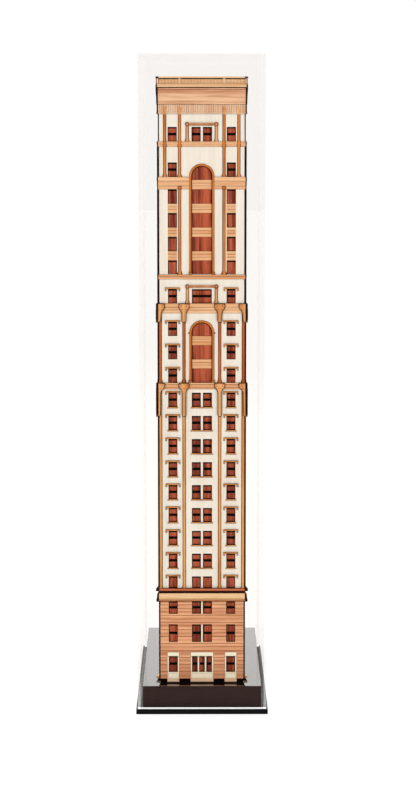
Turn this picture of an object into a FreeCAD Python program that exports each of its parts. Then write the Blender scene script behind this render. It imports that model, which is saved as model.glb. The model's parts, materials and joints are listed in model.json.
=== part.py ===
import FreeCAD, Part
import math
import os

# A layered wooden model of a tower block on a plinth, under a clear case that lifts off.
# The origin is the centre of the base plate's underside. +X is to the right of the front
# elevation, +Y runs from the front elevation to the rear, and +Z is up. Sizes are in mm.

# Stand and case
plinth_width = 144.0
plinth_length = 300.0
plinth_body_height = 25.0
plinth_sheet = 2.0
plate_height = 6.0
plate_lip = 2.0  # base plate beyond the case
case_gap = 3.0  # plinth to case wall
case_wall = 3.0
case_headroom = 25.7  # parapet to the underside of the case top

# Plan of the building, measured over the core boards
plinth_margin = 19.0  # plinth edge to the face of the wall sheet
front_width = 99.4
rear_width = 36.0
tower_length = 101.2
wing_bays = 4

# Sheets and boards
core_board = 3.0
bottom_board = 6.0
window_sheet = 1.0
wall_sheet = 1.2
base_sheet = 1.6

# Storeys, from the plinth up
foot_height = 4.2
base_height = 97.0  # foot band to the roll moulding
roll_height = 10.4
ledge_gap = 2.8
ledge_height = 3.4
storey = 28.2
mid_rows = 9
window_height = 17.0
low_window_height = 14.3  # the row that the ledge cuts
lower_belt_gap = 4.3  # window head to the lower belt
lower_belt_height = 7.9
arcade_rows = 3
upper_belt_gap = 10.4
upper_belt_height = 12.0
attic_height = 28.8
tower_foot_height = 5.4
tower_rows = 4
band_height = 14.8
side_storey_height = 35.6
tower_belt_height = 6.2
top_storey_height = 32.2
corbel_height = 10.9
cove_height = 19.7
parapet_height = 11.1
top_rail_height = 2.1
wing_parapet_height = 8.0

# Bays
bay_pitch = 35.1  # centre of the middle bay to the side windows
window_width = 10.9
pair_gap = 2.6
wide_window = 23.8
arch_inner = 12.3
arch_outer = 15.0
arch_crown_gap = 8.4  # lower arch to the upper belt
tower_crown_gap = 20.0  # tower arch to the tower belt
strip_lift = 0.6  # tower foot belt to the window strips
rear_strip_inset = 16.9  # tower's rear corner to its window strips

# Trim
belt_out = 1.3
ledge_out = 3.5
roll_out = 2.8
roll_round = 4.2
pilaster_width = 4.1
post_offset = 21.45  # middle bay to the pilasters beside it
bracket_out = 1.5
bracket_lip = 0.8  # how far the head's sides bulge
head_width = 13.7
corner_head = 9.3
corner_share = 0.8  # of a stem's width, where it stands on a corner
lower_head_height = 6.0
lower_bracket_height = 41.3
lower_stem = 5.2
upper_head_height = 6.4
upper_bracket_height = 23.2
upper_stem = 6.0
bracket_taper = 8.0
colonette_width = 3.8
colonette_out = 1.6
inner_colonette = 26.4
outer_colonette = 44.0
corner_strip_width = 3.0
corner_strip_out = 1.1
frame_out = 1.2
frame_jamb = 4.2
frame_reveal = 3.3  # wide window to the frame's inside
frame_gap = 1.4  # window head to the frame's lintel
frame_lintel = 3.4
arch_out = 1.4
spandrel_out = 0.9
hood_reach = 3.5  # window to the hood's end
hood_height = 2.0
hood_drop = 4.0
hood_drop_width = 1.5
hood_out = 1.2
sill_gap = 0.2  # between the sills of paired windows
sill_height = 1.8
sill_out = 1.4
corbel_out = 1.5
cove_lean = 0.8
parapet_inset = 1.0  # wall sheet's face to the back of the parapet board
parapet_board = 2.0
rail_out = 1.3
rail_height = 5.2
post_out = 1.0
post_width = 2.4
post_end = 1.6

# Base storeys
mullion_width = 2.2
mullion_out = 0.6
surround_border = 2.0
surround_height = 33.7
surround_out = 0.9
ground_sill = 8.9
ground_window_height = 19.5
ground_window = 10.6
shop_window = 6.6
shop_mullion = 2.1
step_out = 6.4
second_sill = 46.2  # foot band to the second storey's windows
second_window_height = 21.9
third_sill = 81.4
groove_pitch = 4.4
groove_width = 0.5
groove_depth = 0.5

# Screws
screw_radius = 1.5
screw_head_radius = 3.2
screw_head_height = 2.2
screw_grip = 12.0
screw_bite = 4.0
screw_clearance = 0.1
screw_edge = 12.0
building_screw_edge = 20.0

# Worked-out levels
plinth_body_z = plate_height
plinth_sheet_z = plinth_body_z + plinth_body_height
foot_z = plinth_sheet_z + plinth_sheet
base_z = foot_z + foot_height
roll_z = base_z + base_height
wall_z = roll_z + roll_height
ledge_z = wall_z + ledge_gap
mid_z = ledge_z + ledge_height
mid_head_z = mid_z + low_window_height + (mid_rows - 1) * storey
lower_belt_z = mid_head_z + lower_belt_gap
arcade_z = lower_belt_z + lower_belt_height
upper_belt_z = arcade_z + (arcade_rows - 1) * storey + window_height + upper_belt_gap
attic_z = upper_belt_z + upper_belt_height
tower_foot_z = attic_z + attic_height
tower_z = tower_foot_z + tower_foot_height
band_z = tower_z + (tower_rows - 1) * storey + window_height
side_storey_z = band_z + band_height
tower_belt_z = side_storey_z + side_storey_height
top_storey_z = tower_belt_z + tower_belt_height
corbel_z = top_storey_z + top_storey_height
cove_z = corbel_z + corbel_height
roof_z = cove_z + cove_height
top_rail_z = roof_z + parapet_height
building_top = top_rail_z + top_rail_height
case_top_z = building_top + case_headroom

# Worked-out widths
frame_offset = wide_window / 2 + frame_reveal
hood_width = window_width + 2 * hood_reach
sill_width = window_width + pair_gap - sill_gap
shop_width = 3 * shop_window + 2 * shop_mullion
surround_width = ground_window + 2 * surround_border
wide_surround = shop_width + 2 * surround_border

# Worked-out plan
sheet_face = window_sheet + wall_sheet
base_face = window_sheet + base_sheet
core_front = -plinth_length / 2 + plinth_margin + sheet_face
core_length = plinth_length - 2 * (plinth_margin + sheet_face)
core_rear = core_front + core_length
tower_rear_y = core_front + tower_length
slant = math.atan2((front_width - rear_width) / 2, core_length)
cos_slant = math.cos(slant)
sin_slant = math.sin(slant)
side_length = core_length / cos_slant
tower_side = tower_length / cos_slant
tower_middle = tower_side / 2
bay_width = (side_length - tower_side) / wing_bays


def half_width(y, w=0.0):
    """Half the plan's width at y, w outside the side boards' outer face."""
    return front_width / 2 - (y - core_front) * math.tan(slant) + w / cos_slant


def rectangle(u0, u1, z0, z1):
    return [(u0, z0), (u1, z0), (u1, z1), (u0, z1)]


def arch_shape(u, radius, z0, spring):
    """A round-headed outline. Its second last step is the arc, through the crown."""
    return [(u - radius, z0), (u + radius, z0), (u + radius, spring),
            (u, spring + radius, u - radius, spring)]


def prism(corners, z0, z1):
    """A plan outline raised from z0 to z1."""
    points = [FreeCAD.Vector(x, y, z0) for x, y in corners]
    face = Part.Face(Part.makePolygon(points + points[:1]))
    return face.extrude(FreeCAD.Vector(0, 0, z1 - z0))


def plan_slab(y0, y1, w, z0, z1):
    """A board that fills the plan from y0 to y1, with its sides w outside the core."""
    near = half_width(y0, w)
    far = half_width(y1, w)
    return prism([(-near, y0), (near, y0), (far, y1), (-far, y1)], z0, z1)


class Wall:
    """A face of the core. u runs along it, w stands out of it, and z is the height."""

    def __init__(self, origin, along, out, ends, tower_ends=None):
        self.origin = FreeCAD.Vector(*origin, 0)
        self.along = FreeCAD.Vector(*along, 0)
        self.out = FreeCAD.Vector(*out, 0)
        self.ends = ends
        self.tower_ends = tower_ends or ends
        self.singles = []
        self.pairs = []
        self.tower_singles = []
        self.tower_pairs = []
        self.posts = []
        self.colonettes = []
        self.short_colonettes = []
        self.rail_posts = []

    def at(self, u, w, z):
        return self.origin + self.along * u + self.out * w + FreeCAD.Vector(0, 0, z)

    def wire(self, outline, w):
        """A closed wire. A step of four numbers is an arc through its first point."""
        edges = []
        for index, step in enumerate(outline):
            start = self.at(outline[index - 1][-2], w, outline[index - 1][-1])
            end = self.at(step[-2], w, step[-1])
            if len(step) == 4:
                edges.append(Part.Arc(start, self.at(step[0], w, step[1]), end).toShape())
            else:
                edges.append(Part.LineSegment(start, end).toShape())
        return Part.Wire(edges)

    def plate(self, outline, w0, w1, holes=()):
        wires = [self.wire(line, w0) for line in [outline, *holes]]
        face = Part.makeFace(wires, "Part::FaceMakerBullseye")
        return face.extrude(self.out * (w1 - w0))

    def block(self, u0, u1, z0, z1, w0, w1):
        return self.plate(rectangle(u0, u1, z0, z1), w0, w1)

    def strip(self, profile, u0, u1):
        """A (w, z) profile carried along the wall from u0 to u1."""
        points = [self.at(u0, w, z) for w, z in profile]
        face = Part.Face(Part.makePolygon(points + points[:1]))
        return face.extrude(self.along * (u1 - u0))

    def belt(self, z0, z1, w0, w1, tower=False):
        """A plain course between the wall's two ends."""
        ends = self.tower_ends if tower else self.ends
        return self.block(*ends(w0, w1), z0, z1, w0, w1)


def front_ends(w0, w1):
    half = half_width(core_front, w0)
    return -half, half


def rear_ends(w0, w1):
    half = half_width(core_rear + w1, w0)
    return -half, half


def tower_rear_ends(w0, w1):
    half = half_width(tower_rear_y + w1, w0)
    return -half, half


def side_start(w0, w1):
    return -(w1 + w0 * sin_slant) / cos_slant


def side_ends(w0, w1):
    return side_start(w0, w1), (core_length + w1 - w1 * sin_slant) / cos_slant


def tower_side_ends(w0, w1):
    return side_start(w0, w1), (tower_length + w1 - w1 * sin_slant) / cos_slant


def make_front():
    wall = Wall((0, core_front), (1, 0), (0, -1), front_ends)
    wall.singles = [-bay_pitch, bay_pitch]
    wall.pairs = [0.0]
    wall.tower_singles = wall.singles
    wall.tower_pairs = wall.pairs
    wall.posts = [-post_offset, post_offset]
    wall.colonettes = [-inner_colonette, inner_colonette]
    wall.short_colonettes = [-outer_colonette, outer_colonette]
    wall.rail_posts = wall.colonettes
    return wall


def make_side(sign):
    """The right side for sign 1 and the left side for -1, with u from front to rear."""
    origin = (sign * front_width / 2, core_front)
    along = (-sign * sin_slant, cos_slant)
    out = (sign * cos_slant, sin_slant)
    wall = Wall(origin, along, out, side_ends, tower_side_ends)
    wing = [tower_side + bay_width * (bay + 0.5) for bay in range(wing_bays)]
    wall.singles = [tower_middle - bay_pitch, tower_middle + bay_pitch]
    wall.pairs = [tower_middle, *wing]
    wall.tower_singles = wall.singles
    wall.tower_pairs = [tower_middle]
    wall.posts = [tower_middle - post_offset, tower_middle + post_offset]
    wall.posts += [tower_side + bay_width * bay for bay in range(wing_bays)]
    wall.colonettes = [tower_middle - inner_colonette, tower_middle + inner_colonette]
    wall.short_colonettes = [tower_middle - outer_colonette, tower_middle + outer_colonette]
    wall.rail_posts = wall.colonettes
    return wall


def make_rear():
    wall = Wall((0, core_rear), (-1, 0), (0, 1), rear_ends)
    wall.pairs = [0.0]
    return wall


def make_tower_rear():
    wall = Wall((0, tower_rear_y), (-1, 0), (0, 1), tower_rear_ends)
    strip = half_width(tower_rear_y) - rear_strip_inset
    wall.tower_singles = [-strip, strip]
    beside = (outer_colonette - inner_colonette) / 2
    wall.colonettes = [-strip + beside, strip - beside]
    wall.short_colonettes = [-strip - beside, strip + beside]
    wall.rail_posts = wall.colonettes
    return wall


front = make_front()
right = make_side(1)
left = make_side(-1)
rear = make_rear()
tower_rear = make_tower_rear()
main_walls = [front, left, right, rear]
tower_walls = [front, left, right, tower_rear]
wall_names = {"front": front, "left": left, "right": right, "rear": rear,
              "tower_rear": tower_rear}


def sheet_outline(wall, w0, w1, z0, z1):
    """A wall's whole outline: the sides step down behind the tower."""
    u0, u1 = wall.ends(w0, w1)
    if wall in (left, right) and z1 > tower_z:
        tower_end = wall.tower_ends(w0, w1)[1]
        return [(u0, z0), (u1, z0), (u1, tower_z), (tower_end, tower_z),
                (tower_end, z1), (u0, z1)]
    return rectangle(u0, u1, z0, z1)


def sheet_levels(wall):
    """The lowest and highest level of a wall's upper sheets."""
    if wall is tower_rear:
        return tower_z, roof_z
    if wall is rear:
        return wall_z, tower_z
    return wall_z, roof_z


def window(u, z0, z1, width=window_width):
    return rectangle(u - width / 2, u + width / 2, z0, z1)


def pair(u):
    offset = (pair_gap + window_width) / 2
    return [u - offset, u + offset]


def mid_levels():
    """(bottom, top) of each plain row of windows, from the lowest up."""
    levels = [(mid_z, mid_z + low_window_height)]
    for row in range(1, mid_rows):
        top = mid_z + low_window_height + row * storey
        levels.append((top - window_height, top))
    return levels


def base_levels():
    """(bottom, top) of the two rows of windows over the ground storey."""
    second = base_z + second_sill
    third = base_z + third_sill
    return [(second, second + second_window_height), (third, third + window_height)]


def arcade_levels():
    bottoms = [arcade_z + row * storey for row in range(arcade_rows)]
    return [(z, z + window_height) for z in bottoms]


def tower_levels():
    bottoms = [tower_z + row * storey for row in range(tower_rows)]
    return [(z, z + window_height) for z in bottoms]


arcade_spring = upper_belt_z - arch_crown_gap - arch_outer
tower_spring = tower_belt_z - tower_crown_gap - arch_outer


def wall_openings(wall):
    """The holes in a wall's pale sheet."""
    holes = []
    if wall is not tower_rear:
        for z0, z1 in mid_levels():
            for u in wall.singles + [v for p in wall.pairs for v in pair(p)]:
                holes.append(window(u, z0, z1))
        for z0, z1 in arcade_levels() + [(attic_z, attic_z + window_height)]:
            for u in wall.singles:
                holes.append(window(u, z0, z1))
        for u in wall.pairs:
            holes.append(arch_shape(u, arch_inner, arcade_z, arcade_spring))
            holes.append(window(u, attic_z, attic_z + window_height, wide_window))
    if wall is not rear:
        for u in wall.tower_singles:
            holes.append(window(u, tower_z + strip_lift, band_z))
            holes.append(window(u, side_storey_z, side_storey_z + window_height))
            holes.append(window(u, top_storey_z, top_storey_z + window_height))
        for u in wall.tower_pairs:
            holes.append(arch_shape(u, arch_inner, tower_z + strip_lift, tower_spring))
            for v in pair(u):
                holes.append(window(v, top_storey_z, top_storey_z + window_height))
    return holes


def base_openings(wall):
    """The holes in a wall's base-storey sheet."""
    holes = []
    ground = base_z + ground_sill
    for u in wall.singles:
        holes.append(window(u, ground, ground + ground_window_height, ground_window))
    for u in wall.pairs:
        holes.append(window(u, ground, ground + ground_window_height, shop_width))
    for z0, z1 in base_levels():
        holes += [window(u, z0, z1) for u in wall.singles]
        holes += [window(u, z0, z1, 2 * window_width + pair_gap) for u in wall.pairs]
    return holes


def base_grooves(wall):
    """Level joint lines in the face of the base storeys, one at every course of stone."""
    courses = int((roll_z - base_z) / groove_pitch)
    bottom = base_face - groove_depth
    u0, u1 = wall.ends(bottom, base_face)
    heights = [base_z + groove_pitch * (course + 1) for course in range(courses)]
    return Part.makeCompound([wall.block(u0 - groove_width, u1 + groove_width, z,
                                         z + groove_width, bottom, base_face + groove_width)
                              for z in heights])


# Stand, case and core

def stand_pieces():
    case_width = plinth_width + 2 * (case_gap + case_wall)
    case_length = plinth_length + 2 * (case_gap + case_wall)
    plate_width = case_width + 2 * plate_lip
    plate_length = case_length + 2 * plate_lip

    def slab(width, length, z, height):
        return Part.makeBox(width, length, height, FreeCAD.Vector(-width / 2, -length / 2, z))

    plate = slab(plate_width, plate_length, 0, plate_height)
    body = slab(plinth_width, plinth_length, plinth_body_z, plinth_body_height)
    sheet = slab(plinth_width, plinth_length, plinth_sheet_z, plinth_sheet)
    bottom = plan_slab(core_front + core_board, core_rear - core_board, -core_board,
                       foot_z, foot_z + bottom_board)
    x = plinth_width / 2 - screw_edge
    y = plinth_length / 2 - screw_edge
    plate_places = [(sx * x, sy * y) for sx in (-1, 1) for sy in (-1, 1)]
    near = half_width(core_front) - building_screw_edge
    building_places = [(-near, core_front + building_screw_edge),
                       (near, core_front + building_screw_edge),
                       (0, core_rear - building_screw_edge)]
    grip = plinth_body_height + plinth_sheet
    plate_screws, plate_holes = screws(plate_places, 0, screw_grip + plate_height)
    building_screws, building_holes = screws(building_places, plinth_body_z,
                                             grip + screw_bite)
    return {
        "base_plate": plate.cut(plate_holes),
        "plinth_body": body.cut(plate_holes).cut(building_holes),
        "plinth_top_sheet": sheet.cut(building_holes),
        "core_bottom_board": bottom.cut(building_holes),
        "plate_screws": plate_screws,
        "building_screws": building_screws,
    }


def screws(places, z, length):
    """Screws driven upwards from z, and the holes that they go in."""
    shapes = []
    holes = []
    for x, y in places:
        for shapes_out, spare in ((shapes, 0.0), (holes, screw_clearance)):
            seat = FreeCAD.Vector(x, y, z)
            head = Part.makeCylinder(screw_head_radius + spare, screw_head_height, seat)
            shank = Part.makeCylinder(screw_radius + spare, length + spare, seat)
            shapes_out.append(head.fuse(shank).removeSplitter())
    return Part.makeCompound(shapes), Part.makeCompound(holes)


def case_pieces():
    """Four walls that stand on the base plate, and a lid over them."""
    inner_x = plinth_width / 2 + case_gap
    inner_y = plinth_length / 2 + case_gap
    outer_x = inner_x + case_wall
    outer_y = inner_y + case_wall

    def panel(x0, x1, y0, y1, z0, z1):
        return Part.makeBox(x1 - x0, y1 - y0, z1 - z0, FreeCAD.Vector(x0, y0, z0))

    walls = {
        "case_front_panel": (-outer_x, outer_x, -outer_y, -inner_y),
        "case_rear_panel": (-outer_x, outer_x, inner_y, outer_y),
        "case_left_panel": (-outer_x, -inner_x, -inner_y, inner_y),
        "case_right_panel": (inner_x, outer_x, -inner_y, inner_y),
    }
    pieces = {name: panel(*sides, plate_height, case_top_z) for name, sides in walls.items()}
    pieces["case_top_panel"] = panel(-outer_x, outer_x, -outer_y, outer_y,
                                     case_top_z, case_top_z + case_wall)
    return pieces


def core_pieces():
    inside = -core_board
    front_in = core_front + core_board
    rear_in = core_rear - core_board
    tower_in = tower_rear_y - core_board
    side_start_u = (core_board + core_board * sin_slant) / cos_slant
    side_end_u = (core_length - core_board) / cos_slant
    side_outline = [(side_start_u, foot_z), (side_end_u, foot_z), (side_end_u, tower_z),
                    (tower_side, tower_z), (tower_side, roof_z), (side_start_u, roof_z)]
    floor_levels = [wall_z, (mid_z + lower_belt_z) / 2, lower_belt_z]
    floors = [plan_slab(front_in, rear_in, inside, z, z + core_board) for z in floor_levels]
    floors.append(plan_slab(front_in, tower_in, inside, band_z, band_z + core_board))
    return {
        "core_front_board": plan_slab(core_front, front_in, 0, foot_z, roof_z),
        "core_rear_board": plan_slab(rear_in, core_rear, 0, foot_z, tower_z),
        "core_left_board": left.plate(side_outline, inside, 0),
        "core_right_board": right.plate(side_outline, inside, 0),
        "core_tower_rear_board": plan_slab(tower_in, tower_rear_y, inside, tower_z, roof_z),
        "core_floors": Part.makeCompound(floors),
        "wing_roof_board": plan_slab(front_in, rear_in, inside, tower_z - core_board, tower_z),
        "tower_roof_board": plan_slab(front_in, tower_in, inside, roof_z - core_board, roof_z),
    }


# Skins

def skin_pieces():
    pieces = {}
    for name, wall in wall_names.items():
        z0, z1 = sheet_levels(wall)
        lowest = z0 if wall is tower_rear else base_z
        inner = sheet_outline(wall, 0, window_sheet, lowest, z1)
        pieces[name + "_window_sheet"] = wall.plate(inner, 0, window_sheet)
        outer = sheet_outline(wall, window_sheet, sheet_face, z0, z1)
        pieces[name + "_wall_sheet"] = wall.plate(outer, window_sheet, sheet_face,
                                                  wall_openings(wall))
        if wall is not tower_rear:
            base = sheet_outline(wall, window_sheet, base_face, base_z, wall_z)
            plate = wall.plate(base, window_sheet, base_face, base_openings(wall))
            pieces[name + "_base_sheet"] = plate.cut(base_grooves(wall))
    return pieces


# Ground level and belts

def on_walls(walls, make):
    """One compound of what make gives for each wall."""
    return Part.makeCompound([shape for wall in walls for shape in make(wall)])


def ground_surrounds(wall):
    z0 = base_z
    z1 = base_z + surround_height
    sill = base_z + ground_sill
    head = sill + ground_window_height
    w0 = base_face
    w1 = base_face + surround_out
    shapes = []
    for u in wall.singles:
        hole = window(u, sill, head, ground_window)
        shapes.append(wall.plate(window(u, z0, z1, surround_width), w0, w1, [hole]))
    for u in wall.pairs:
        step = shop_window + shop_mullion
        holes = [window(u + i * step, sill, head, shop_window) for i in (-1, 0, 1)]
        shapes.append(wall.plate(window(u, z0, z1, wide_surround), w0, w1, holes))
    return shapes


def entrance_steps(wall):
    w0 = window_sheet
    widths = [(u, surround_width) for u in wall.singles]
    widths += [(u, wide_surround) for u in wall.pairs]
    return [wall.plate(window(u, foot_z, base_z, width), w0, w0 + step_out)
            for u, width in widths]


def foot_boards(wall):
    return [wall.belt(foot_z, base_z, 0, window_sheet)]


def roll_moulding(wall):
    """A course with a half-round face."""
    w0 = base_face
    w1 = base_face + roll_out
    u0, u1 = wall.ends(w0, w1)
    middle = (roll_z + wall_z) / 2
    flat = w1 - roll_round / 2
    points = [(w0, roll_z), (flat, roll_z), (flat, wall_z), (w0, wall_z)]
    shape = wall.strip(points, u0, u1)
    edges = [wall.at(u0, flat, roll_z), wall.at(u0, w1, middle), wall.at(u0, flat, wall_z)]
    bulge = Part.Wire([Part.Arc(*edges).toShape(),
                       Part.LineSegment(edges[2], edges[0]).toShape()])
    return [shape.fuse(Part.Face(bulge).extrude(wall.along * (u1 - u0))).removeSplitter()]


def ledges(wall):
    return [wall.belt(ledge_z, mid_z, sheet_face, sheet_face + ledge_out)]


def pilasters(wall):
    """The long uprights of the plain rows, and the short ones between the two belts."""
    w1 = sheet_face + belt_out
    u0, u1 = wall.ends(sheet_face, w1)
    places = [(u - pilaster_width / 2, u + pilaster_width / 2) for u in wall.posts]
    places += [(u0, u0 + pilaster_width), (u1 - pilaster_width, u1)]
    levels = ((mid_z, lower_belt_z), (arcade_z, upper_belt_z))
    return [wall.block(a, b, z0, z1, sheet_face, w1) for a, b in places for z0, z1 in levels]


def bracket_side(u, toward, stem, head, top, bottom, head_height):
    """One edge of a bracket from its round foot up to its top, on the side given by toward."""
    shoulder = top - head_height
    neck = shoulder - bracket_taper
    waist = head - bracket_lip
    hollow = stem + (waist - stem) * 0.2
    return [(u + toward * stem, bottom + stem), (u + toward * stem, neck),
            (u + toward * hollow, (neck + shoulder) / 2, u + toward * waist, shoulder),
            (u + toward * head, (shoulder + top) / 2, u + toward * waist, top)]


def brackets(wall, top, bottom, head_height, stem_width):
    """Overlaid uprights with a wide curled head, a stem and a round foot."""
    w0 = sheet_face + belt_out
    w1 = w0 + bracket_out
    stem = stem_width / 2
    shapes = []
    for u in wall.posts:
        sizes = (stem, head_width / 2, top, bottom, head_height)
        right_edge = bracket_side(u, 1, *sizes)
        left_edge = mirrored(bracket_side(u, -1, *sizes))
        foot = (u, bottom, *right_edge[0])
        shapes.append(wall.plate([foot, *right_edge[1:], *left_edge], w0, w1))
    u0, u1 = wall.ends(w0, w1)
    corner_stem = stem_width * corner_share
    for u, toward in ((u0, 1), (u1, -1)):
        edge = bracket_side(u, toward, corner_stem, corner_head, top, bottom, head_height)
        foot = (u + toward * corner_stem * 0.7, bottom + corner_stem * 0.3, *edge[0])
        shapes.append(wall.plate([(u, bottom), foot, *edge[1:], (u, top)], w0, w1))
    return shapes


def mirrored(edge):
    """A bracket's edge taken downwards instead of upwards."""
    (foot_u, foot_z0), (neck_u, neck_z), taper, head = edge
    return [head[2:], (head[0], head[1], *taper[2:]), (taper[0], taper[1], neck_u, neck_z),
            (foot_u, foot_z0)]


def lower_brackets(wall):
    return brackets(wall, arcade_z, arcade_z - lower_bracket_height, lower_head_height,
                    lower_stem)


def upper_brackets(wall):
    return brackets(wall, attic_z, attic_z - upper_bracket_height, upper_head_height,
                    upper_stem)


def lower_belts(wall):
    return [wall.belt(lower_belt_z, arcade_z, sheet_face, sheet_face + belt_out)]


def upper_belts(wall):
    return [wall.belt(upper_belt_z, attic_z, sheet_face, sheet_face + belt_out)]


def tower_foot_belts(wall):
    return [wall.belt(tower_foot_z, tower_z, sheet_face, sheet_face + belt_out)]


def arch_bands(wall):
    """The deep band of the tower, open where the arch stands."""
    w1 = sheet_face + belt_out
    u0, u1 = wall.tower_ends(sheet_face, w1)
    cuts = [u0]
    for u in wall.tower_pairs:
        cuts += [u - arch_outer, u + arch_outer]
    cuts.append(u1)
    return [wall.block(a, b, band_z, side_storey_z, sheet_face, w1)
            for a, b in zip(cuts[::2], cuts[1::2])]


def tower_belts(wall):
    return [wall.belt(tower_belt_z, top_storey_z, sheet_face, sheet_face + belt_out, True)]


# Openings' trim

def arch_frame(wall, u, z0, spring):
    outline = [(u - arch_outer, z0), (u - arch_inner, z0), (u - arch_inner, spring),
               (u, spring + arch_inner, u + arch_inner, spring), (u + arch_inner, z0),
               (u + arch_outer, z0), (u + arch_outer, spring),
               (u, spring + arch_outer, u - arch_outer, spring)]
    return wall.plate(outline, sheet_face, sheet_face + arch_out)


def arch_frames(wall):
    """The frames of the arcade's arches and of the tall arch over them."""
    arches = [(u, arcade_z, arcade_spring) for u in wall.pairs]
    arches += [(u, tower_z, tower_spring) for u in wall.tower_pairs]
    return [arch_frame(wall, *arch) for arch in arches]


def spandrels(wall):
    """Panels between the windows of the arches and of the tower's strips."""
    w1 = window_sheet + spandrel_out
    arcade = [top for _, top in arcade_levels()[:-1]]
    shaft = [top for _, top in tower_levels()]
    places = []
    if wall is not tower_rear:
        places += [(u, z, arch_inner, arcade_spring) for u in wall.pairs for z in arcade]
    if wall is not rear:
        half = window_width / 2
        places += [(u, z, half, band_z) for u in wall.tower_singles for z in shaft[:-1]]
        places += [(u, z, arch_inner, tower_spring) for u in wall.tower_pairs for z in shaft]
    height = storey - window_height
    return [wall.block(u - half, u + half, z, min(z + height, limit), window_sheet, w1)
            for u, z, half, limit in places]


def frame(wall, u, z0):
    """Two jambs and a lintel round a storey's middle window."""
    inner = frame_offset
    outer = frame_offset + frame_jamb
    head = z0 + window_height + frame_gap
    outline = [(u - outer, z0), (u - inner, z0), (u - inner, head), (u + inner, head),
               (u + inner, z0), (u + outer, z0), (u + outer, head + frame_lintel),
               (u - outer, head + frame_lintel)]
    return wall.plate(outline, sheet_face, sheet_face + frame_out)


def window_frames(wall):
    """The frames in the attic and in the tower's top storey."""
    return [frame(wall, u, z) for u in wall.tower_pairs for z in (attic_z, top_storey_z)]


def hood(wall, u, z):
    """A flat hood with a drop at each end."""
    outer = hood_width / 2
    inner = outer - hood_drop_width
    top = z + hood_height
    low = top - hood_drop
    outline = [(u - outer, low), (u - inner, low), (u - inner, z), (u + inner, z),
               (u + inner, low), (u + outer, low), (u + outer, top), (u - outer, top)]
    return wall.plate(outline, sheet_face, sheet_face + hood_out)


def window_hoods(wall):
    heads = [top for _, top in mid_levels() + arcade_levels()]
    heads.append(attic_z + window_height)
    return [hood(wall, u, z) for u in wall.singles for z in heads]


def window_sills(wall):
    """Sills that spread downwards."""
    low = sill_width / 2
    high = window_width / 2
    shapes = []
    for z, _ in mid_levels()[1:]:
        for u in wall.singles + [v for p in wall.pairs for v in pair(p)]:
            outline = [(u - low, z - sill_height), (u + low, z - sill_height),
                       (u + high, z), (u - high, z)]
            shapes.append(wall.plate(outline, sheet_face, sheet_face + sill_out))
    return shapes


def base_mullions(wall):
    """Pale uprights between the paired windows of the base storeys."""
    w1 = base_face + mullion_out
    return [wall.plate(window(u, z0, min(z1, roll_z), mullion_width), window_sheet, w1)
            for u in wall.pairs for z0, z1 in base_levels()]


# Tower uprights and crown

def colonettes(wall):
    w1 = sheet_face + colonette_out
    half = colonette_width / 2
    upper = [(side_storey_z, tower_belt_z), (top_storey_z, corbel_z)]
    shapes = []
    for u in wall.colonettes:
        for z0, z1 in [(tower_z, band_z), *upper]:
            shapes.append(wall.block(u - half, u + half, z0, z1, sheet_face, w1))
    for u in wall.short_colonettes:
        for z0, z1 in upper:
            shapes.append(wall.block(u - half, u + half, z0, z1, sheet_face, w1))
    return shapes


def corner_strips(wall):
    """Pale strips at the front edge of each side."""
    w1 = sheet_face + corner_strip_out
    u0 = wall.ends(sheet_face, w1)[0]
    levels = [(attic_z, tower_foot_z), (tower_z, band_z), (side_storey_z, tower_belt_z)]
    return [wall.block(u0, u0 + corner_strip_width, z0, z1, sheet_face, w1)
            for z0, z1 in levels]


def corbel_tables(wall):
    return [wall.belt(corbel_z, cove_z, sheet_face, sheet_face + corbel_out, True)]


def cove_cornices(wall):
    """A cornice board whose face leans outwards."""
    low = sheet_face + corbel_out
    high = low + cove_lean
    u0, u1 = wall.tower_ends(sheet_face, high)
    profile = [(sheet_face, cove_z), (low, cove_z), (high, roof_z), (sheet_face, roof_z)]
    return [wall.strip(profile, u0, u1)]


parapet_back = sheet_face - parapet_inset
parapet_face = parapet_back + parapet_board


def parapet_boards(wall):
    return [wall.belt(roof_z, top_rail_z, parapet_back, parapet_face, True)]


def parapet_rails(wall):
    """A deep course at the parapet's foot, and the rail on its top."""
    w1 = parapet_face + rail_out
    top = wall.belt(top_rail_z, building_top, parapet_back, w1, True)
    low = wall.belt(roof_z, roof_z + rail_height, parapet_face, w1, True)
    return [low, top]


def parapet_posts(wall):
    z0 = roof_z + rail_height
    w1 = parapet_face + post_out
    half = post_width / 2
    u0, u1 = wall.tower_ends(parapet_face, w1)
    places = [(u - half, u + half) for u in wall.rail_posts]
    places += [(u0, u0 + post_end), (u1 - post_end, u1)]
    return [wall.block(a, b, z0, top_rail_z, parapet_face, w1) for a, b in places]


def wing_parapets(wall):
    """Low walls round the roof behind the tower."""
    w0 = parapet_back - parapet_board / 2
    w1 = w0 + parapet_board
    u0, u1 = wall.ends(w0, w1)
    if wall is not rear:
        u0 = tower_side + sheet_face + corbel_out + cove_lean
    return [wall.block(u0, u1, tower_z, tower_z + wing_parapet_height, w0, w1)]


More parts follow.
